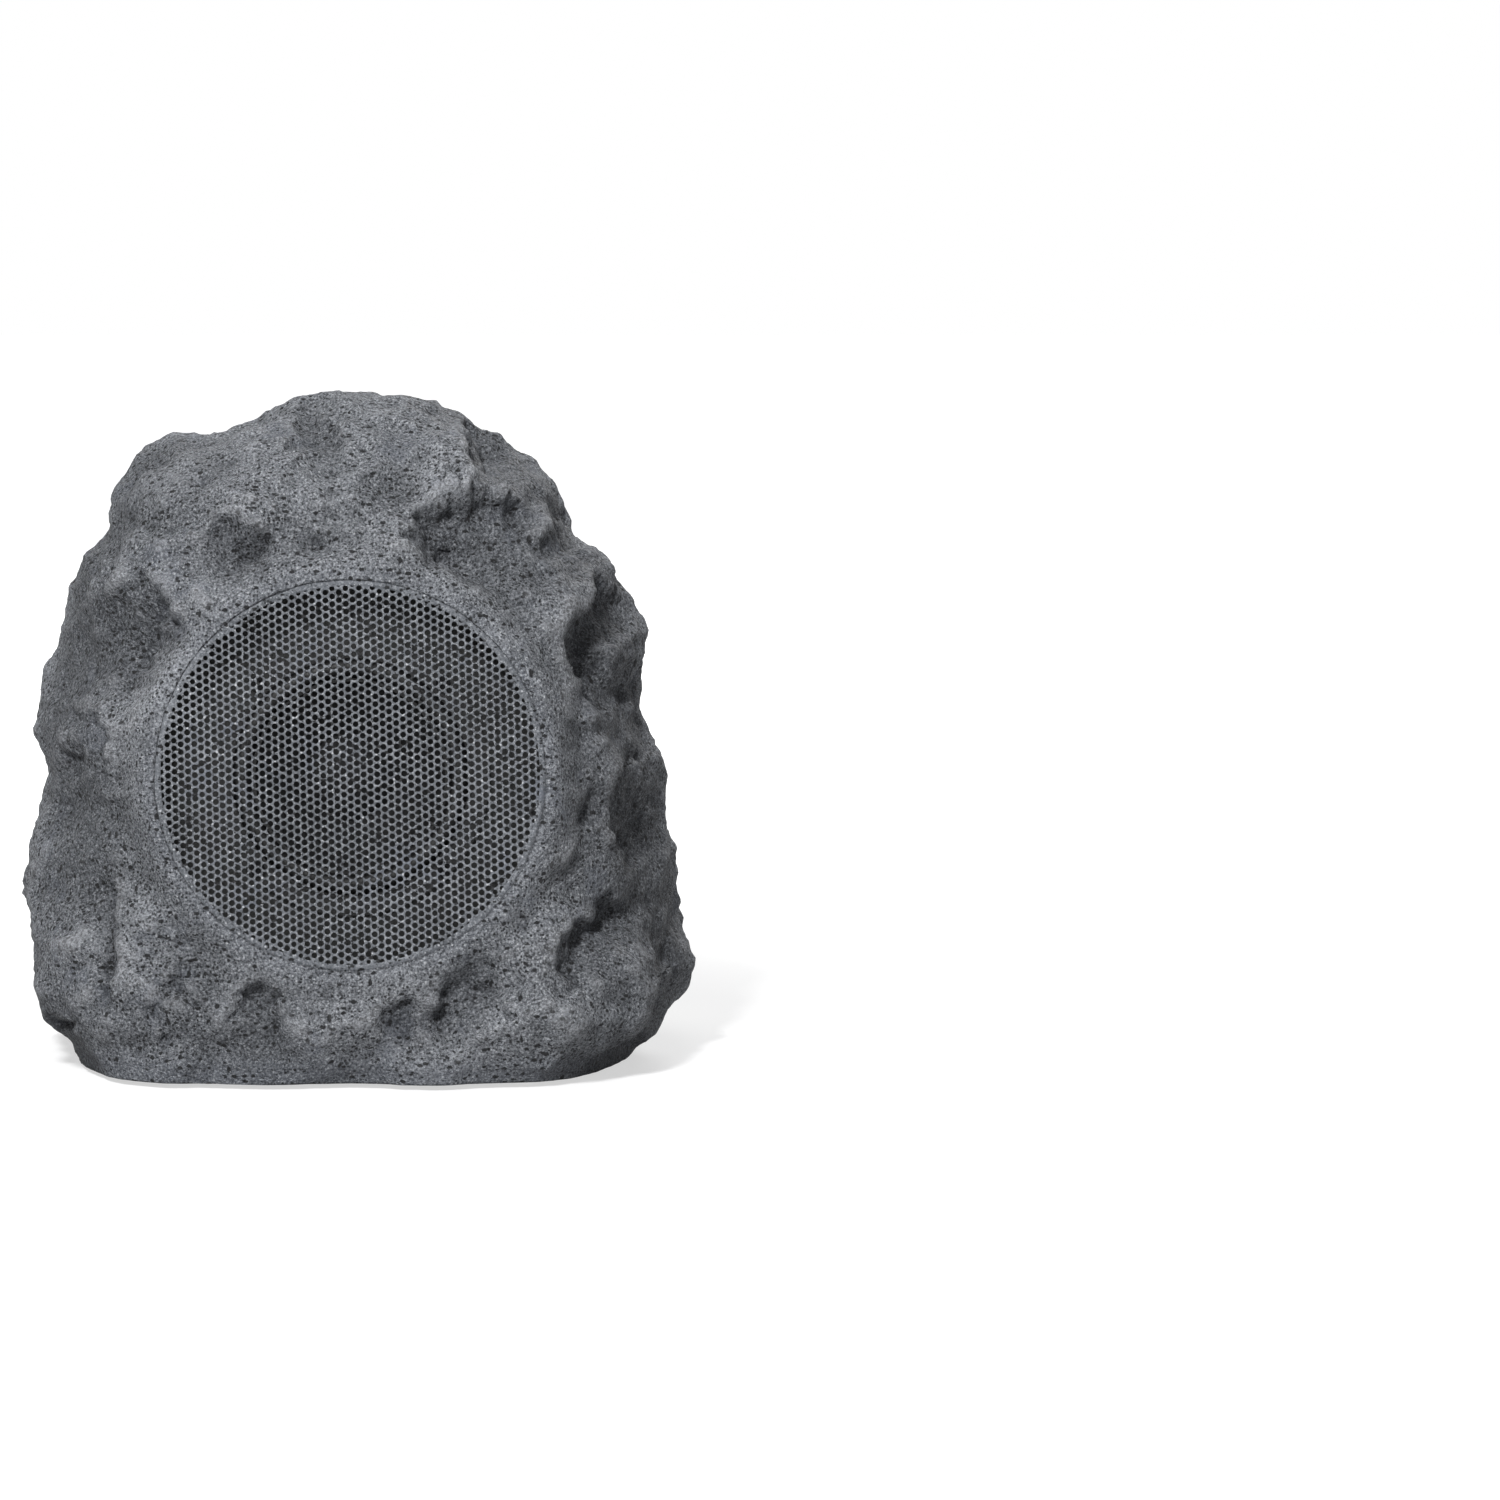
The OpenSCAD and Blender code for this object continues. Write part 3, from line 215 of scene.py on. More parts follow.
def brokenOut(px, pz):
    # an oval hollow drops steeply inside its rim, levels off, and rises slowly towards the way it runs out;
    # none reaches the flat round the grille
    deep = 0
    for cx, cz, wide, high, turned, depth in hollows:
        c, s = math.cos(math.radians(turned)), math.sin(math.radians(turned))
        u = ((px - cx) * c + (pz - cz) * s) / wide
        v = ((pz - cz) * c - (px - cx) * s) / high
        inside = np.clip((1 - np.hypot(u, v)) / 0.42, 0, 1)
        deep = deep + depth * inside * (2 - inside) * ease(1.0, -0.6, u)
    return deep * ease(79, 95, np.hypot(px - face["at"][0], pz + stone["rim"] - face["at"][2]))


def relief(p, turn, t):
    px = p[..., 0] * stone["drawn"][0] / stone["size"][0]
    pz = p[..., 2] * stone["drawn"][2] / stone["size"][2]
    front = chipped(px, pz, frontChips)
    side = np.clip(chipped(turn * stone["girth"] / 360, pz, sideList), -5, 3)
    # it fades along the drawn side outlines, and on the sides it mostly cuts in
    edge = 1 - 0.85 * np.exp(-((np.abs(turn) - 90) / 13) ** 2)
    inward = 2.6 * ease(28, 60, np.abs(turn)) * (1 - ease(120, 152, np.abs(turn)))
    high = mix(front, side, ease(55, 85, np.abs(turn))) - inward
    return edge * high * (1 - ease(stone["smoothTop"], 1, t))


# hollows that meet in ridges: height, size of a cell, seed and crispness, then the level they are centred on
largeBreaks = dict(broad=(7.0, 44.0, 3, 30.0), narrow=(2.6, 20.0, 11, 26.0), level=4.2)


def broken(p, kind, plain=False):
    height, cell, seed, crisp = kind
    return height * scoops(p, cell, seed, crisp, plain)


def footWear(p):
    # the foot of the stone is smoother
    return 0.35 + 0.65 * ease(3, 24, p[..., 2])


def breakage(p, t):
    # the large hollows; their cells lean over and are lower than wide
    lean = p @ np.array([[0.90, 0.30, 0.30], [-0.35, 0.92, 0.15], [-0.24, -0.24, 0.94]]) * (1.0, 1.0, 1.5)
    high = broken(lean, largeBreaks["broad"], True) + broken(lean, largeBreaks["narrow"], True) - largeBreaks["level"]
    return high * (1 - ease(0.95, 1, t)) * footWear(p)


def largeRelief(p, turn, t, bend=None):
    # facets, large hollows and what is broken out of the front; bend moves the edges of the last
    facing = (1 - ease(76, 100, np.abs(turn))) * (1 - ease(0.95, 1, t))
    at = p[..., [0, 2]] + (0 if bend is None else bend)
    return relief(p, turn, t) + breakage(p, t) - facing * brokenOut(at[..., 0], at[..., 1])


def columnTurn(j, columns):
    a = -180 + 360 * j / columns
    return a + stone["cornerWarp"] * np.sin(np.radians(4 * a)) - stone["frontWarp"] * np.sin(np.radians(a))


def faceAxes():
    s, c = math.sin(math.radians(face["tilt"])), math.cos(math.radians(face["tilt"]))
    return np.array(face["at"]) - (0, 0, stone["rim"]), np.array([0, -c, s]), np.array([0, s, c])


def panelAxes():
    s, c = math.sin(math.radians(panel["tilt"])), math.cos(math.radians(panel["tilt"]))
    return np.array(panel["at"]) - (0, 0, stone["rim"]), np.array([0, c, s]), np.array([0, -s, c])


def pressFace(p, depth, flat, blend):
    # flattens the surface on the face's plane and leaves it free further out
    at, n, up = faceAxes()
    d = p - at
    out = d @ n
    r = np.hypot(d[..., 0], d @ up)
    free = np.where(p[..., 1] > 0, 1, ease(flat, flat + blend, r))
    return p + n * (mix(-depth, out, free) - out)[..., None], free, r


def pressPanel(p, depth):
    at, n, up = panelAxes()
    d = p - at
    out = d @ n
    past = np.hypot(np.maximum(0, np.abs(d[..., 0]) - panel["flat"][0]),
                    np.maximum(0, np.abs(d @ up) - panel["flat"][1]))
    free = np.where(p[..., 1] < 0, 1, ease(0, panel["blend"], past))
    return p + n * (mix(-depth, out, free) - out)[..., None], free


def normalsOf(grid, top):
    # out of the grid: the way round crossed with the way up
    beside = np.roll(grid, -1, 1) - np.roll(grid, 1, 1)
    above = np.concatenate([grid[1:], np.broadcast_to(top, grid[:1].shape)], 0)
    below = np.concatenate([grid[:1], grid[:-1]], 0)
    n = np.cross(beside, above - below)
    return n / np.maximum(np.linalg.norm(n, axis=-1, keepdims=True), 1e-9)


def meshFrom(name, verts, faces, smooth=True):
    # faces may mix triangles and quads
    me = bpy.data.meshes.new(name)
    me.from_pydata(np.asarray(verts).tolist(), [], faces)
    me.polygons.foreach_set("use_smooth", [smooth] * len(me.polygons))
    me.update()
    obj = bpy.data.objects.new(name, me)
    scene.collection.objects.link(obj)
    return obj


def floatAttribute(obj, name, values):
    a = obj.data.attributes.new(name, "FLOAT", "POINT")
    a.data.foreach_set("value", np.asarray(values, np.float32).ravel())


def sideFaces(rows, columns, start, turned):
    # quads of a grid that closes on itself sideways
    i, j = np.meshgrid(np.arange(rows - 1), np.arange(columns), indexing="ij")
    a = start + i * columns + j
    b = start + i * columns + (j + 1) % columns
    quads = np.stack([a, b, b + columns, a + columns], -1).reshape(-1, 4)
    return (quads[:, ::-1] if turned else quads).tolist()


def applyModifiers(obj):
    graph = bpy.context.evaluated_depsgraph_get()
    me = bpy.data.meshes.new_from_object(obj.evaluated_get(graph))
    obj.modifiers.clear()
    obj.data = me


def onPlane(axes, x, y, z):
    # a point in a plane's own axes, z out of the plane, to metres in the frame
    at, n, up = axes
    across = np.stack([x, 0 * x, 0 * x], -1)
    return (at + (0, 0, stone["rim"]) + across + np.multiply.outer(y, up) + np.multiply.outer(z, n)) * mm


def onFace(x, y, z):
    return onPlane(faceAxes(), x, y, z)


def onPanel(x, y, z):
    # x to the right as seen from behind
    return onPlane(panelAxes(), -x, y, z)


# small helpers for the materials' nodes
def linear(hexCode):
    # sRGB hex to linear RGBA
    c = [int(hexCode[i:i + 2], 16) / 255 for i in (1, 3, 5)]
    return tuple(v / 12.92 if v <= 0.04045 else ((v + 0.055) / 1.055) ** 2.4 for v in c) + (1.0,)


def feed(mat, n, inputs):
    # every input gets a plain value or the socket of another node
    for key, v in inputs.items():
        if isinstance(v, bpy.types.NodeSocket):
            mat.node_tree.links.new(v, n.inputs[key])
        else:
            n.inputs[key].default_value = v


def addNode(mat, kind, inputs=None, **settings):
    n = mat.node_tree.nodes.new(kind)
    for k, v in settings.items():
        setattr(n, k, v)
    feed(mat, n, inputs or {})
    return n


def newMaterial(name):
    mat = bpy.data.materials.new(name)
    mat.use_nodes = True
    return mat, mat.node_tree.nodes["Principled BSDF"]


def ramp(mat, fac, stops):
    n = addNode(mat, "ShaderNodeValToRGB", {"Fac": fac})
    while len(n.color_ramp.elements) < len(stops):
        n.color_ramp.elements.new(0.5)
    for e, (at, col) in zip(n.color_ramp.elements, stops):
        e.position = at
        e.color = col if isinstance(col, tuple) else (col, col, col, 1)
    return n.outputs["Color"]


def blendColours(mat, fac, a, b, kind="MIX"):
    n = addNode(mat, "ShaderNodeMix", {0: fac, 6: a, 7: b}, data_type="RGBA", blend_type=kind, clamp_factor=True)
    return n.outputs[2]


def maths(mat, op, a, b, clamp=False):
    return addNode(mat, "ShaderNodeMath", {0: a, 1: b}, operation=op, use_clamp=clamp).outputs[0]


def vectorMaths(mat, op, a, b):
    return addNode(mat, "ShaderNodeVectorMath", {0: a, 1: b}, operation=op).outputs[0]


def attribute(mat, name):
    return addNode(mat, "ShaderNodeAttribute", attribute_name=name).outputs["Fac"]


def millimetres(mat):
    # object coordinates counted in mm
    return vectorMaths(mat, "MULTIPLY", addNode(mat, "ShaderNodeTexCoord").outputs["Object"], (1000, 1000, 1000))


def noiseAt(mat, co, size, detail=2.0, rough=0.5, distortion=0.0):
    n = addNode(mat, "ShaderNodeTexNoise", {"Vector": co, "Scale": 1 / size, "Detail": detail,
                                            "Roughness": rough, "Distortion": distortion})
    return n.outputs["Fac"]


def specks(mat, co, size, share, small, large):
    # round flecks: a cell of the given size holds one if its random number is under share,
    # and its radius lies between small and large, all in mm; the outer quarter of it fades
    v = addNode(mat, "ShaderNodeTexVoronoi", {"Vector": co, "Scale": 1 / size, "Randomness": 1.0})
    parts = addNode(mat, "ShaderNodeSeparateColor", {"Color": v.outputs["Color"]})
    away = maths(mat, "MULTIPLY", v.outputs["Distance"], size)
    radius = addNode(mat, "ShaderNodeMapRange", {
        "Value": parts.outputs[1], "To Min": small, "To Max": large}).outputs[0]
    inside = maths(mat, "DIVIDE", maths(mat, "SUBTRACT", radius, away), maths(mat, "MULTIPLY", radius, 0.25), True)
    return maths(mat, "MULTIPLY", inside, maths(mat, "LESS_THAN", parts.outputs[0], share))


# the stone's flecked paint, used on the housing and over the grille
def stonePaint(name, look):
    mat, bsdf = newMaterial(name)
    tone = {k: linear(v) for k, v in look.items() if isinstance(v, str)}
    co = millimetres(mat)
    # a little wandering keeps the flecks from being perfect discs
    wander = addNode(mat, "ShaderNodeTexNoise", {"Vector": co, "Scale": 0.9, "Detail": 2.0}).outputs["Color"]
    push = vectorMaths(mat, "MULTIPLY", vectorMaths(mat, "ADD", wander, (-0.5, -0.5, -0.5)), (1.1, 1.1, 1.1))
    bent = vectorMaths(mat, "ADD", co, push)

    clouds = noiseAt(mat, co, 42.0, 3.0, 0.55)
    blotch = noiseAt(mat, co, 9.0, 4.0, 0.62)
    salt = noiseAt(mat, co, 1.0, 3.0, 0.75)
    base = ramp(mat, clouds, [(0.30, tone["dark"]), (0.52, tone["mid"]), (0.72, tone["light"])])
    base = blendColours(mat, ramp(mat, blotch, [(0.35, 0.0), (0.75, 0.55)]), base, tone["light"])
    base = blendColours(mat, ramp(mat, salt, [(0.36, look["salt"]), (0.50, 0.0)]), base, tone["deep"])
    base = blendColours(mat, ramp(mat, salt, [(0.52, 0.0), (0.68, look["salt"])]), base, tone["pale"])

    # smooth bluish patches where the texture is filled
    filled = ramp(mat, noiseAt(mat, co, 26.0, 3.0, 0.6, 0.4), [(0.58, 0.0), (0.68, 1.0)])
    if look["ridges"]:
        filled = maths(mat, "MAXIMUM", maths(mat, "MULTIPLY", filled, 0.8), attribute(mat, "rubbed"))
    base = blendColours(mat, maths(mat, "MULTIPLY", filled, 0.35), base, tone["bluish"])

    # black flecks in three sizes, the larger ones drawn out, and white ones in one
    fine = specks(mat, bent, 1.3, look["fine"], 0.28, 0.7)
    middle = specks(mat, vectorMaths(mat, "MULTIPLY", bent, (0.62, 1.0, 1.0)), 2.3, look["middle"], 0.38, 0.95)
    large = specks(mat, vectorMaths(mat, "MULTIPLY", bent, (1.0, 1.0, 0.55)), 3.9, look["large"], 0.5, 1.15)
    patchy = ramp(mat, noiseAt(mat, co, 30.0, 2.0), [(0.35, 0.5), (0.60, 1.0)])
    fine = maths(mat, "MULTIPLY", fine, patchy)
    fine = maths(mat, "MULTIPLY", fine, maths(mat, "SUBTRACT", 1.0, maths(mat, "MULTIPLY", filled, 0.5)))
    black = maths(mat, "MAXIMUM", maths(mat, "MAXIMUM", fine, middle), large)
    white = specks(mat, co, 1.7, 0.34, 0.2, 0.55)
    base = blendColours(mat, maths(mat, "MULTIPLY", white, 0.6), base, tone["white"])
    base = blendColours(mat, maths(mat, "MULTIPLY", black, 0.93), base, tone["black"])
    if look["ridges"]:
        # rubbed pale on the high edges, in part a painted highlight; darker in the hollows and over what is broken
        # deep, a dark wash that is in part painted shade
        ridge = attribute(mat, "ridge")
        paleEdgesAndHighlight = maths(mat, "MULTIPLY", ramp(mat, ridge, [(0.60, 0.0), (1.0, 0.6)]), salt)
        base = blendColours(mat, paleEdgesAndHighlight, base, tone["dryBrushAndHighlight"])
        washAndShade = maths(mat, "MAXIMUM", ramp(mat, ridge, [(0.12, 0.75), (0.46, 0.0)]),
                     maths(mat, "MULTIPLY", attribute(mat, "sunk"), 0.6))
        washAndShade = maths(mat, "MULTIPLY", washAndShade, ramp(mat, noiseAt(mat, co, 2.2, 3.0, 0.7), [(0.38, 0.6), (0.62, 1.2)]))
        base = blendColours(mat, washAndShade, base, tone["hollow"], "MULTIPLY")
    else:
        # the spray hardly reaches into the holes, and the hole walls are painted black, in part as painted shade
        sprayThinAndShade = ramp(mat, attribute(mat, "inside"), [(0.15, 0.0), (0.75, 1.0)])
        base = blendColours(mat, sprayThinAndShade, base, tone["black"])

    # grain: bumps about half a mm high
    high = maths(mat, "ADD", maths(mat, "MULTIPLY", noiseAt(mat, co, 1.2, 3.0, 0.75), look["grit"]),
                 maths(mat, "MULTIPLY", noiseAt(mat, co, 3.4, 3.0, 0.65), look["lumps"]))
    bump = addNode(mat, "ShaderNodeBump", {"Height": high, "Strength": 1.0, "Distance": look["bump"]})
    feed(mat, bsdf, {"Base Color": base, "Roughness": ramp(mat, salt, [(0.3, 0.92), (0.7, 0.68)]),
                     "IOR": 1.46, "Specular IOR Level": 0.35, "Normal": bump.outputs[0]})
    return mat


# of these colours, the rubbed pale of the high edges is in part a painted highlight, and the darker wash of the
# hollows is in part painted shade
stoneLook = dict(dark="#5b5e63", mid="#6e7176", light="#84878c", deep="#1b1c1f", pale="#b6b9be", bluish="#696e79",
                 white="#bcbec2", black="#030304", dryBrushAndHighlight="#a8aaae", hollow="#6a6c70",
                 fine=0.62, middle=0.66, large=0.3, salt=0.85, grit=1.0, lumps=0.9, bump=0.0019, ridges=True)
# the grille wears the same paint as the stone, drawn darker all over; the darkening is painted shade
shadedGrilleLook = dict(stoneLook, dark="#4a4d51", mid="#585b60", light="#676a6f", bluish="#565b66", fine=0.45, middle=0.5,
                  salt=0.4, grit=0.4, lumps=0.2, bump=0.0003, ridges=False)
stoneMaterial = stonePaint("flecked stone paint on moulded resin", stoneLook)
grilleMaterial = stonePaint("flecked stone paint on steel", shadedGrilleLook)
print("materials of the stone done")


# the stone housing: points of its two walls, and how far round in degrees, up as a share and off in mm the inner
# one keeps from the deepest relief
walls = dict(columns=330, rows=236, innerColumns=110, innerRows=40, aside=6, above=0.042, spare=2.5)
# breakage smaller than the solid model holds, as in largeBreaks
smallBreaks = dict(chip=(2.2, 10.5, 17, 24.0), chipLevel=0.8, pit=(1.3, 6.5, 21, 20.0), pitLevel=0.4)


def buildStone():
    columns, rows = walls["columns"], walls["rows"]
    t, turn = np.meshgrid(np.arange(rows) / rows, columnTurn(np.arange(columns), columns), indexing="ij")
    base = smoothStone(turn, t)
    peak = smoothStone(np.array(0.0), np.array(1.0))
    n = normalsOf(base, peak)
    calm = 1 - 0.6 * ease(stone["smoothTop"], 1, t)
    # the drawn facets with softer joints, then what is broken out of them with crisp ones
    bend = np.stack([fineNoise(base, 17, k) + 0.6 * fineNoise(base, 7, k + 1) + 0.3 * fineNoise(base, 3, k + 2)
                     for k in (71, 81)], -1)
    drawnRelief = largeRelief(base, turn, t, 6.0 * bend)
    coarse = (1.3 * valueNoise(base, 34) + 0.9 * valueNoise(base, 15)) * calm
    p = base + n * (drawnRelief + coarse)[..., None]
    # small chips and pits, in cells that sway
    sway = np.stack([fineNoise(p, 13.0, s) + 0.5 * fineNoise(p, 5.0, s + 1) for s in (41, 51, 61)], -1)
    chips = broken(p * (1, 1, 1.3) + 1.6 * sway, smallBreaks["chip"]) - smallBreaks["chipLevel"]
    grit = (0.30 * fineNoise(p, 4.2, 5) + 0.34 * fineNoise(p, 2.4, 9)
            + broken(p + 0.9 * sway, smallBreaks["pit"]) - smallBreaks["pitLevel"])
    wear = footWear(p)
    p, free, r = pressFace(p, 0, face["flat"] - 2, face["blend"] - 2)
    p, freeBack = pressPanel(p, 0)
    loose = np.minimum(free, freeBack)
    m = normalsOf(p, peak)
    finish = 1 - 0.85 * ease(0.985, 1, t)
    rough = chips * (0.03 + 0.97 * loose) * wear + grit * (0.35 + 0.65 * loose) * (0.5 + 0.5 * wear)
    p = p + m * (rough * finish)[..., None]
    p[..., 2] = np.maximum(p[..., 2], np.where(t == 0, 0, 0.25))
    p[0, :, 2] = 0
    # ridge: how far a point stands out of its neighbourhood, 0.5 on the flat
    local = (drawnRelief * 0.8 + chips * wear) * loose + grit * 0.7
    blur = local.copy()
    for _ in range(14):
        blur = (blur + np.roll(blur, 1, 1) + np.roll(blur, -1, 1) + np.concatenate([blur[:1], blur[:-1]])
                + np.concatenate([blur[1:], blur[-1:]])) / 5
    ridge = np.clip(0.5 + 0.36 * (local - blur), 0, 1)
    # the paint lies darker over what is broken deep, as a wash and in part as painted shade
    sunk = ease(1.5, 11.0, 6.0 - drawnRelief) * loose
    rubbed = (1 - ease(76, 84, r)) * (p[..., 1] < 0) * 0.35
    rubbed = np.maximum(rubbed, 0.7 * (1 - ease(3, 15, p[..., 2])))

    # the inner wall is coarser and keeps under the deepest relief near each of its points
    ic, ir = walls["innerColumns"], walls["innerRows"]
    it, iturn = np.meshgrid(np.arange(ir) / ir, columnTurn(np.arange(ic), ic), indexing="ij")
    inner = smoothStone(iturn, it)
    innerPeak = peak - (0, 0, stone["wall"])
    near = [(iturn + x * walls["aside"], np.clip(it + y * walls["above"], 0, 1))
            for x in (-1, 0, 1) for y in (-1, 0, 1)]
    deepest = np.min([largeRelief(smoothStone(a, b), a, b) for a, b in near], 0)
    deepest = deepest - walls["spare"] * ease(0.06, 0.2, it)
    inner = inner + normalsOf(inner, peak) * (deepest - stone["wall"])[..., None]
    narrow, _, _ = pressFace(inner, stone["wall"], face["innerFlat"], face["innerBlend"])
    broad, _, _ = pressFace(inner, stone["wall"], face["flat"], face["blend"])
    inner = np.where(((broad - narrow) @ faceAxes()[1] < 0)[..., None], broad, narrow)
    inner, _ = pressPanel(inner, stone["wall"])
    inner[..., 2] = np.maximum(inner[..., 2], 0.4)
    inner[0, :, 2] = 0

    verts = np.concatenate([p.reshape(-1, 3), inner.reshape(-1, 3), [peak], [innerPeak]])
    faces = sideFaces(rows, columns, 0, False)
    k = rows * columns
    top = k + ir * ic
    faces += [[(rows - 1) * columns + j, (rows - 1) * columns + (j + 1) % columns, top] for j in range(columns)]
    faces += sideFaces(ir, ic, k, True)
    faces += [[k + (ir - 1) * ic + (j + 1) % ic, k + (ir - 1) * ic + j, top + 1] for j in range(ic)]
    # rim: three outer points to one inner point
    for j in range(ic):
        a, d, e = 3 * j, k + j, k + (j + 1) % ic
        faces += [[a + 1, a, d], [a + 2, a + 1, d], [(a + 3) % columns, a + 2, d], [(a + 3) % columns, d, e]]
    obj = meshFrom("StoneHousing", (verts + (0, 0, stone["rim"])) * mm, faces)
    extra = np.zeros(len(verts) - rows * columns)
    floatAttribute(obj, "ridge", np.concatenate([ridge.ravel(), extra + 0.5]))
    floatAttribute(obj, "rubbed", np.concatenate([rubbed.ravel(), extra]))
    floatAttribute(obj, "sunk", np.concatenate([sunk.ravel(), extra]))
    return obj


def turnedCutter(name, profile, sides, wobble):
    # a profile of (radius, height) turned round the face's axis, its radius wandering a little
    a = np.arange(sides) * 2 * pi / sides
    wave = sum(s * np.sin(k * a + s * 40) for k, s in wobble)
    rings = [onFace((r + wave) * np.cos(a), (r + wave) * np.sin(a), np.full(sides, float(h))) for r, h in profile]
    verts = np.concatenate(rings)
    faces = []
    for i in range(len(profile) - 1):
        for j in range(sides):
            k = (j + 1) % sides
            faces.append([i * sides + j, i * sides + k, (i + 1) * sides + k, (i + 1) * sides + j])
    faces.append(list(range(sides))[::-1])
    faces.append(list(range((len(profile) - 1) * sides, len(profile) * sides)))
    return meshFrom(name, verts, faces, False)


def boxCutter(name, w, h, r, low, high):
    # a box with rounded corners on the panel's axis: width, height, radius, and from where to where it goes
    a = np.linspace(0, pi / 2, 7)
    pts = []
    for sx, sy, turn in ((1, 1, 0), (-1, 1, 1), (-1, -1, 2), (1, -1, 3)):
        b = a + turn * pi / 2
        pts += [(sx * (w / 2 - r) + r * math.cos(v), sy * (h / 2 - r) + r * math.sin(v)) for v in b]
    pts = np.array(pts)
    n = len(pts)
    verts = np.concatenate([onPanel(pts[:, 0], pts[:, 1], np.full(n, float(z))) for z in (low, high)])
    faces = [[j, (j + 1) % n, n + (j + 1) % n, n + j] for j in range(n)]
    faces += [list(range(n))[::-1], list(range(n, 2 * n))]
    return meshFrom(name, verts, faces, False)


housing = buildStone()
# the opening's lip rolls over softly and its edge wanders by a few tenths
lip = dict(radius=75.0, roll=[(0, -9), (0, -1.0), (0.12, -0.6), (0.4, 0.1), (0.8, 9)],
           wobble=[(5, 0.10), (9, 0.08), (17, 0.08), (31, 0.06)], seat=77.6, depth=2.4, below=16)
openings = dict(rebate=(100.6, 46.6, 6, -3.0, 12), well=(89.8, 31.8, 3.3, -30, 5))
cutters = [
    turnedCutter("lipCut", [(lip["radius"] + r, z) for r, z in lip["roll"]], 360, lip["wobble"]),
    turnedCutter("seatCut", [(lip["seat"], -lip["below"]), (lip["seat"], -lip["depth"])], 180, []),
    boxCutter("rebateCut", *openings["rebate"]),
    boxCutter("wellCut", *openings["well"]),
]
for c in cutters:
    m = housing.modifiers.new(c.name, "BOOLEAN")
    m.object = c
    m.operation = "DIFFERENCE"
    m.solver = "EXACT"
applyModifiers(housing)
for c in cutters:
    bpy.data.objects.remove(c)
housing.data.materials.clear()
housing.data.materials.append(stoneMaterial)
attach(housing, "housing")
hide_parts("stone_shell")
print("stone housing", len(housing.data.polygons))


# perforated grille: one six-sided tile per hole, 3 mm apart, each with a hole of about 2 mm
grille = dict(pitch=3.0, hole=1.11, reach=74.3, rim=75.4, edge=73.0, bevel=73.8, top=-0.34, sheet=1.0, turn=1.5,
              sides=12)


def buildGrille():
    step = grille["pitch"] * math.sqrt(3) / 2
    cells = []
    for i in range(-30, 31):
        for j in range(-27, 28):
            x, y = i * step, (j + 0.5 * (i % 2)) * grille["pitch"]
            if math.hypot(x, y) < grille["reach"]:
                cells.append((x, y))
    cells = np.array(cells)
    count = len(cells)
    sides = grille["sides"]
    corner = grille["pitch"] / math.sqrt(3)
    # outer ring: the six corners of the tile and the middles of its sides
    a = np.arange(sides) * 2 * pi / sides
    outer = np.where((np.arange(sides) % 2 == 0), corner, corner * math.cos(pi / 6))
    ring = np.stack([np.cos(a), np.sin(a)], -1)
    idx = np.stack([np.round(cells[:, 0] * 7), np.round(cells[:, 1] * 7), np.zeros(count)], -1)
    r1, r2, r3, r4 = cellRandom(idx, 31)
    # paint narrows every hole a little, some of those at the edge a lot
    far = np.hypot(cells[:, 0], cells[:, 1])
    hole = grille["hole"] * (0.99 - 0.10 * r1 ** 3 - ease(69.5, 74.5, far) * 0.42 * r2)
    drift = 0.05 * (np.stack([r3, r4], -1) - 0.5)
    spin = math.radians(grille["turn"])
    verts = []
    top, low = grille["top"], grille["top"] - grille["sheet"]
    rims = [(None, top), (0.14, top - 0.01), (0.0, top - 0.16), (0.0, low), (None, low)]
    for grow, z in rims:
        if grow is None:
            xy = cells[:, None, :] + ring[None] * outer[None, :, None]
        else:
            xy = (cells + drift)[:, None, :] + ring[None] * (hole + grow)[:, None, None]
        xy = xy * np.minimum(1, grille["rim"] / np.maximum(np.hypot(xy[..., 0], xy[..., 1]), 1e-6))[..., None]
        x = xy[..., 0] * math.cos(spin) - xy[..., 1] * math.sin(spin)
        y = xy[..., 0] * math.sin(spin) + xy[..., 1] * math.cos(spin)
        # the sheet is not perfectly flat and the paint on it is uneven
        swell = 0.10 * np.sin(x / 19 + 1) * np.cos(y / 23)
        verts.append(onFace(x.ravel(), y.ravel(), (z + swell).ravel()))
    verts = np.concatenate(verts)
    faces = []
    level = count * sides
    k = np.arange(count)[:, None] * sides
    j = np.arange(sides)[None]
    a0, b0 = (k + j).ravel(), (k + (j + 1) % sides).ravel()
    for i in range(len(rims) - 1):
        quads = np.stack([a0 + i * level, b0 + i * level, b0 + (i + 1) * level, a0 + (i + 1) * level], -1)
        faces += quads.tolist()
    # the unperforated edge of the sheet, just under the last tiles
    start, around = len(verts), 180
    a = np.arange(around) * 2 * pi / around
    edge = [(grille["edge"], low), (grille["edge"], top - 0.12), (grille["bevel"], top - 0.03),
            (grille["rim"], top - 0.03), (grille["rim"], low)]
    for r, z in edge:
        verts = np.concatenate([verts, onFace(r * np.cos(a), r * np.sin(a), np.full(around, float(z)))])
    for i in range(len(edge)):
        this, other = start + i * around, start + (i + 1) % len(edge) * around
        faces += [[this + (j + 1) % around, this + j, other + j, other + (j + 1) % around] for j in range(around)]
    obj = meshFrom("PerforatedGrille", verts, faces)
    # the spray paint thins out inside the holes, where the walls also get painted shade
    inside = np.zeros(len(verts))
    inside[2 * level:4 * level] = 1
    floatAttribute(obj, "inside", inside)
    return obj, count


grilleObj, holes = buildGrille()
weld = grilleObj.modifiers.new("weld", "WELD")
weld.merge_threshold = 0.02 * mm
applyModifiers(grilleObj)
grilleObj.data.materials.clear()
grilleObj.data.materials.append(grilleMaterial)
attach(grilleObj, "housing")
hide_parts("grille")
print("grille", holes, "holes", len(grilleObj.data.polygons), "faces")


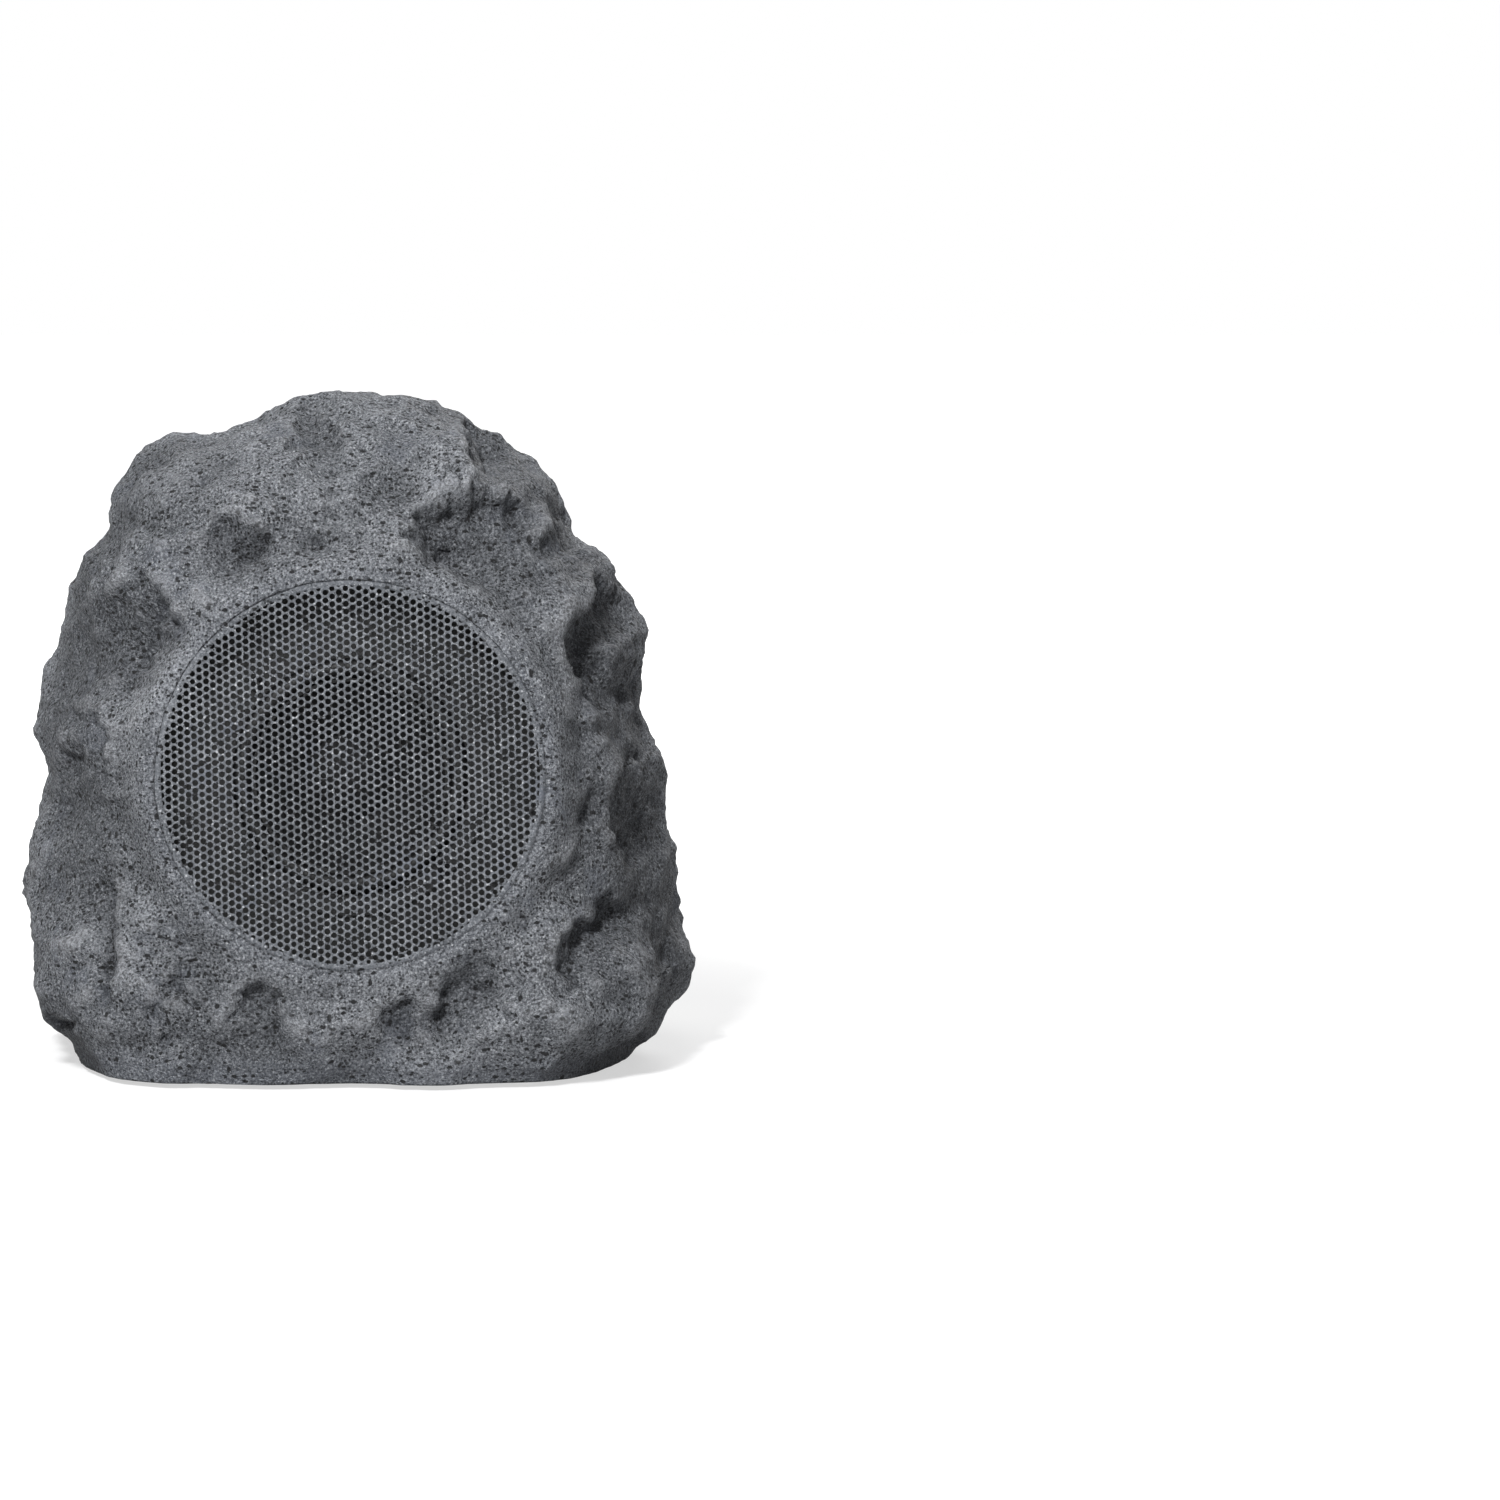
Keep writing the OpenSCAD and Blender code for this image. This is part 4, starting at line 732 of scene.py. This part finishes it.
# plainer materials of the pieces that stay as they are in the solid model
def finishOf(name, colour, rough, metal=0.0, grain=1.5, bump=None, coat=0.0):
    # grain and bump in mm
    mat, bsdf = newMaterial(name)
    fac = noiseAt(mat, millimetres(mat), grain, 3.0, 0.6)
    plain = linear(colour)
    lighter = tuple(v * 1.25 for v in plain[:3]) + (1.0,)
    feed(mat, bsdf, {"Base Color": ramp(mat, fac, [(0.35, plain), (0.7, lighter)]),
                     "Roughness": ramp(mat, fac, [(0.3, max(0.05, rough - 0.07)), (0.7, min(1.0, rough + 0.07))]),
                     "Metallic": metal, "IOR": 1.5, "Coat Weight": coat})
    if bump:
        b = addNode(mat, "ShaderNodeBump", {"Height": fac, "Strength": 0.5, "Distance": bump * mm})
        feed(mat, bsdf, {"Normal": b.outputs[0]})
    return mat


def coverWith(mat, names):
    for n in names:
        nodes[n].data.materials.clear()
        nodes[n].data.materials.append(mat)


# name, colour, roughness, further settings and the nodes that get the finish
finishes = [
    ("satin black ABS", "#0f1011", 0.5, dict(grain=0.8, bump=0.06),
     ["baffle", "base_plate", "control_panel", "battery_tray"]),
    ("closed-cell foam rubber", "#1b1b1c", 0.9, dict(grain=0.7, bump=0.2), ["driver_gasket", "panel_gasket"]),
    ("black stoved steel", "#141416", 0.42, dict(grain=2.0), ["driver_frame"]),
    ("butyl rubber roll", "#151516", 0.55, dict(grain=3.0), ["surround"]),
    ("coated paper pulp", "#0c0c0e", 0.75, dict(grain=1.2, bump=0.15), ["cone", "dust_cap"]),
    ("enamelled copper winding", "#b5652f", 0.3, dict(metal=1.0), ["voice_coil"]),
    ("resin-treated cotton", "#b98a3a", 0.85, dict(grain=0.6, bump=0.15), ["spider"]),
    ("zinc-plated steel", "#b8bbbf", 0.32, dict(metal=1.0), ["top_plate", "back_plate"]),
    ("sintered ferrite", "#2c2d30", 0.7, dict(grain=0.9, bump=0.05), ["magnet"]),
    ("phenolic paper board", "#6b4524", 0.5, {}, ["terminal_tag"]),
    ("zinc-plated screws", "#a9abaf", 0.28, dict(metal=1.0), ["base_screws", "panel_screws", "board_screws"]),
    ("black-oxide screws", "#1a1a1c", 0.4, dict(metal=0.8), ["driver_screws"]),
    ("glass-epoxy board with green mask", "#0d3b22", 0.3, dict(grain=5.0, coat=0.3), ["button_board", "main_board"]),
    ("glass-filled black nylon", "#141415", 0.45, {}, ["switch_bodies", "charging_socket"]),
    ("nickel-plated brass", "#cfcabb", 0.2, dict(metal=1.0), ["socket_pin"]),
    ("natural nylon", "#d9d2bd", 0.5, {}, ["panel_lead_socket", "lead_sockets", "power_plunger", "link_plunger",
                                           "volume_down_plunger", "volume_up_plunger"]),
    ("moulded chip epoxy", "#151516", 0.6, {}, ["amplifier_chip"]),
    ("clear-anodised aluminium", "#a9acb0", 0.4, dict(metal=1.0), ["heat_sink"]),
    ("tinned steel shield", "#c3c5c6", 0.3, dict(metal=1.0), ["wireless_module"]),
    ("shrink sleeve on capacitor", "#161b3a", 0.3, {}, ["capacitors"]),
    ("heat-shrink wrap on cell", "#2a5fb0", 0.3, dict(grain=12.0), ["battery_cell_1", "battery_cell_2"]),
    ("red lead sleeve", "#8c1614", 0.4, {}, ["driver_lead"]),
    ("black lead sleeve", "#161616", 0.4, {}, ["battery_lead"]),
    ("grey lead sleeve", "#4a4b4e", 0.4, {}, ["panel_lead"]),
    ("moulded foot rubber", "#161617", 0.85, dict(grain=1.0, bump=0.1),
     ["foot_front_left", "foot_front_right", "foot_back_left", "foot_back_right"]),
    ("silicone rubber button", "#2b2c2f", 0.6, dict(grain=0.9, bump=0.05),
     ["power_button", "link_button", "volume_down_button", "volume_up_button"]),
]
for name, colour, rough, settings, names in finishes:
    coverWith(finishOf(name, colour, rough, **settings), names)
lens, lensBsdf = newMaterial("clear acrylic light guide")
tint = noiseAt(lens, millimetres(lens), 1.0)
feed(lens, lensBsdf, {"Base Color": ramp(lens, tint, [(0.3, linear("#dfefff")), (0.7, linear("#f4faff"))]),
                      "Roughness": 0.12, "IOR": 1.49, "Transmission Weight": 0.85})
coverWith(lens, ["status_light"])
print("finishes done")


# marks printed on the buttons: power, link, minus and plus
marks = dict(first=-28.5, pitch=15.0, face=-6.5, sunk=0.02, width=0.45, ink=0.06)


def printedMark(name, body, at, strokes):
    # every stroke is a line of points, or a loop, with the ink as a thin band along it
    verts, faces = [], []
    for line, closed in strokes:
        line = np.array(line, float)
        if closed:
            along = np.roll(line, -1, 0) - np.roll(line, 1, 0)
        else:
            along = np.gradient(line, axis=0)
        along = along / np.linalg.norm(along, axis=1, keepdims=True)
        beside = np.stack([along[:, 1], -along[:, 0]], -1) * marks["width"] / 2
        n, start = len(line), len(verts)
        for edge, z in ((line + beside, 0.0), (line - beside, 0.0),
                        (line - beside, marks["ink"]), (line + beside, marks["ink"])):
            verts += list(onPanel(at + edge[:, 0], edge[:, 1], np.full(n, marks["face"] - marks["sunk"] + z)))
        for i in range(n if closed else n - 1):
            k = (i + 1) % n
            for a in range(4):
                b = (a + 1) % 4
                faces.append([start + a * n + i, start + b * n + i, start + b * n + k, start + a * n + k])
        if not closed:
            faces.append([start + a * n for a in (3, 2, 1, 0)])
            faces.append([start + a * n + n - 1 for a in (0, 1, 2, 3)])
    obj = meshFrom(name, verts, faces, False)
    obj.data.materials.append(ink)
    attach(obj, body)


def arc(radius, start, end, steps, squash=1.0, turned=0.0, shift=(0.0, 0.0)):
    a = np.radians(np.linspace(start, end, steps))
    x, y = radius * np.cos(a), radius * squash * np.sin(a)
    c, s = math.cos(math.radians(turned)), math.sin(math.radians(turned))
    return np.stack([x * c - y * s + shift[0], x * s + y * c + shift[1]], -1)


ink = finishOf("pale printing ink", "#b9bbbd", 0.6, grain=0.4)
minus = ([(-1.7, 0), (1.7, 0)], False)
for number, (name, body, strokes) in enumerate([
        ("PowerMark", "power_key", [(arc(1.9, 122, 418, 33), False), ([(0, 0.5), (0, 2.5)], False)]),
        ("LinkMark", "link_key", [(arc(1.35, 0, 345, 24, 0.62, 45, (k * 0.75, k * 0.75)), True) for k in (-1, 1)]),
        ("MinusMark", "volume_down_key", [minus]),
        ("PlusMark", "volume_up_key", [minus, ([(0, -1.7), (0, -0.24)], False), ([(0, 0.24), (0, 1.7)], False)])]):
    printedMark(name, body, marks["first"] + number * marks["pitch"], strokes)
print("printed marks done")


# floor, light and camera
def seenRays(mat):
    # 1 for what is seen directly, mirrored or through glass, and 0 for what only gives light
    rays = addNode(mat, "ShaderNodeLightPath").outputs
    return maths(mat, "ADD", maths(mat, "ADD", rays["Is Camera Ray"], rays["Is Glossy Ray"]),
                 rays["Is Transmission Ray"], True)


def areaLight(name, at, towards, size, power):
    light = bpy.data.lights.new(name, "AREA")
    light.shape = "RECTANGLE"
    light.size, light.size_y = size
    light.energy = power
    obj = bpy.data.objects.new(name, light)
    scene.collection.objects.link(obj)
    obj.location = at
    obj.rotation_euler = (Vector(towards) - Vector(at)).to_track_quat("-Z", "Y").to_euler()


floor = meshFrom("WhiteFloor", [(-6, -4, 0), (6, -4, 0), (6, 8, 0), (-6, 8, 0)], [[0, 1, 2, 3]], False)
floorMat, floorBsdf = newMaterial("white studio floor")
dust = noiseAt(floorMat, millimetres(floorMat), 60.0)
# it is lifted to white for what looks at it, more so away from the stone, and not as light
awayFrom = addNode(floorMat, "ShaderNodeVectorMath", {0: addNode(floorMat, "ShaderNodeTexCoord").outputs["Object"]},
                   operation="LENGTH").outputs["Value"]
lift = addNode(floorMat, "ShaderNodeMapRange", {
    "Value": awayFrom, "From Min": 0.22, "From Max": 0.75, "To Min": 0.6, "To Max": 1.0}).outputs[0]
feed(floorMat, floorBsdf, {"Base Color": ramp(floorMat, dust, [(0.3, linear("#a6a6a7")), (0.7, linear("#adadad"))]),
                           "Roughness": 0.9, "Emission Color": (1, 1, 1, 1),
                           "Emission Strength": maths(floorMat, "MULTIPLY", seenRays(floorMat), lift)})
floor.data.materials.append(floorMat)

areaLight("KeyUpperLeft", (-0.58, -1.85, 1.6), (0, 0, 0.12), (0.35, 0.35), 86)
areaLight("TopSoft", (-0.1, 0.0, 2.4), (0, 0, 0.1), (1.2, 1.2), 12)
areaLight("BackSoft", (0.7, 2.2, 1.3), (0, 0, 0.12), (0.9, 0.9), 34)
world = bpy.data.worlds.new("StudioWhite")
scene.world = world
world.use_nodes = True
# white to look at, dim as light
bright = addNode(world, "ShaderNodeMapRange", {"Value": seenRays(world), "To Min": 0.03, "To Max": 1.0})
feed(world, world.node_tree.nodes["Background"], {"Color": (1, 1, 1, 1), "Strength": bright.outputs[0]})

camera = dict(lens=144, sensor=36, shift=0.2613, away=2.4, raised=math.radians(6), height=0.1215)
cam = bpy.data.cameras.new("Camera")
cam.lens = camera["lens"]
cam.sensor_width = camera["sensor"]
cam.shift_x = camera["shift"]
cam.clip_end = 50
camObj = bpy.data.objects.new("Camera", cam)
scene.collection.objects.link(camObj)
camObj.location = (0, -camera["away"] * math.cos(camera["raised"]),
                   camera["height"] + camera["away"] * math.sin(camera["raised"]))
camObj.rotation_euler = (pi / 2 - camera["raised"], 0, 0)
scene.camera = camObj
scene.view_settings.view_transform = "Standard"
print("stage done")
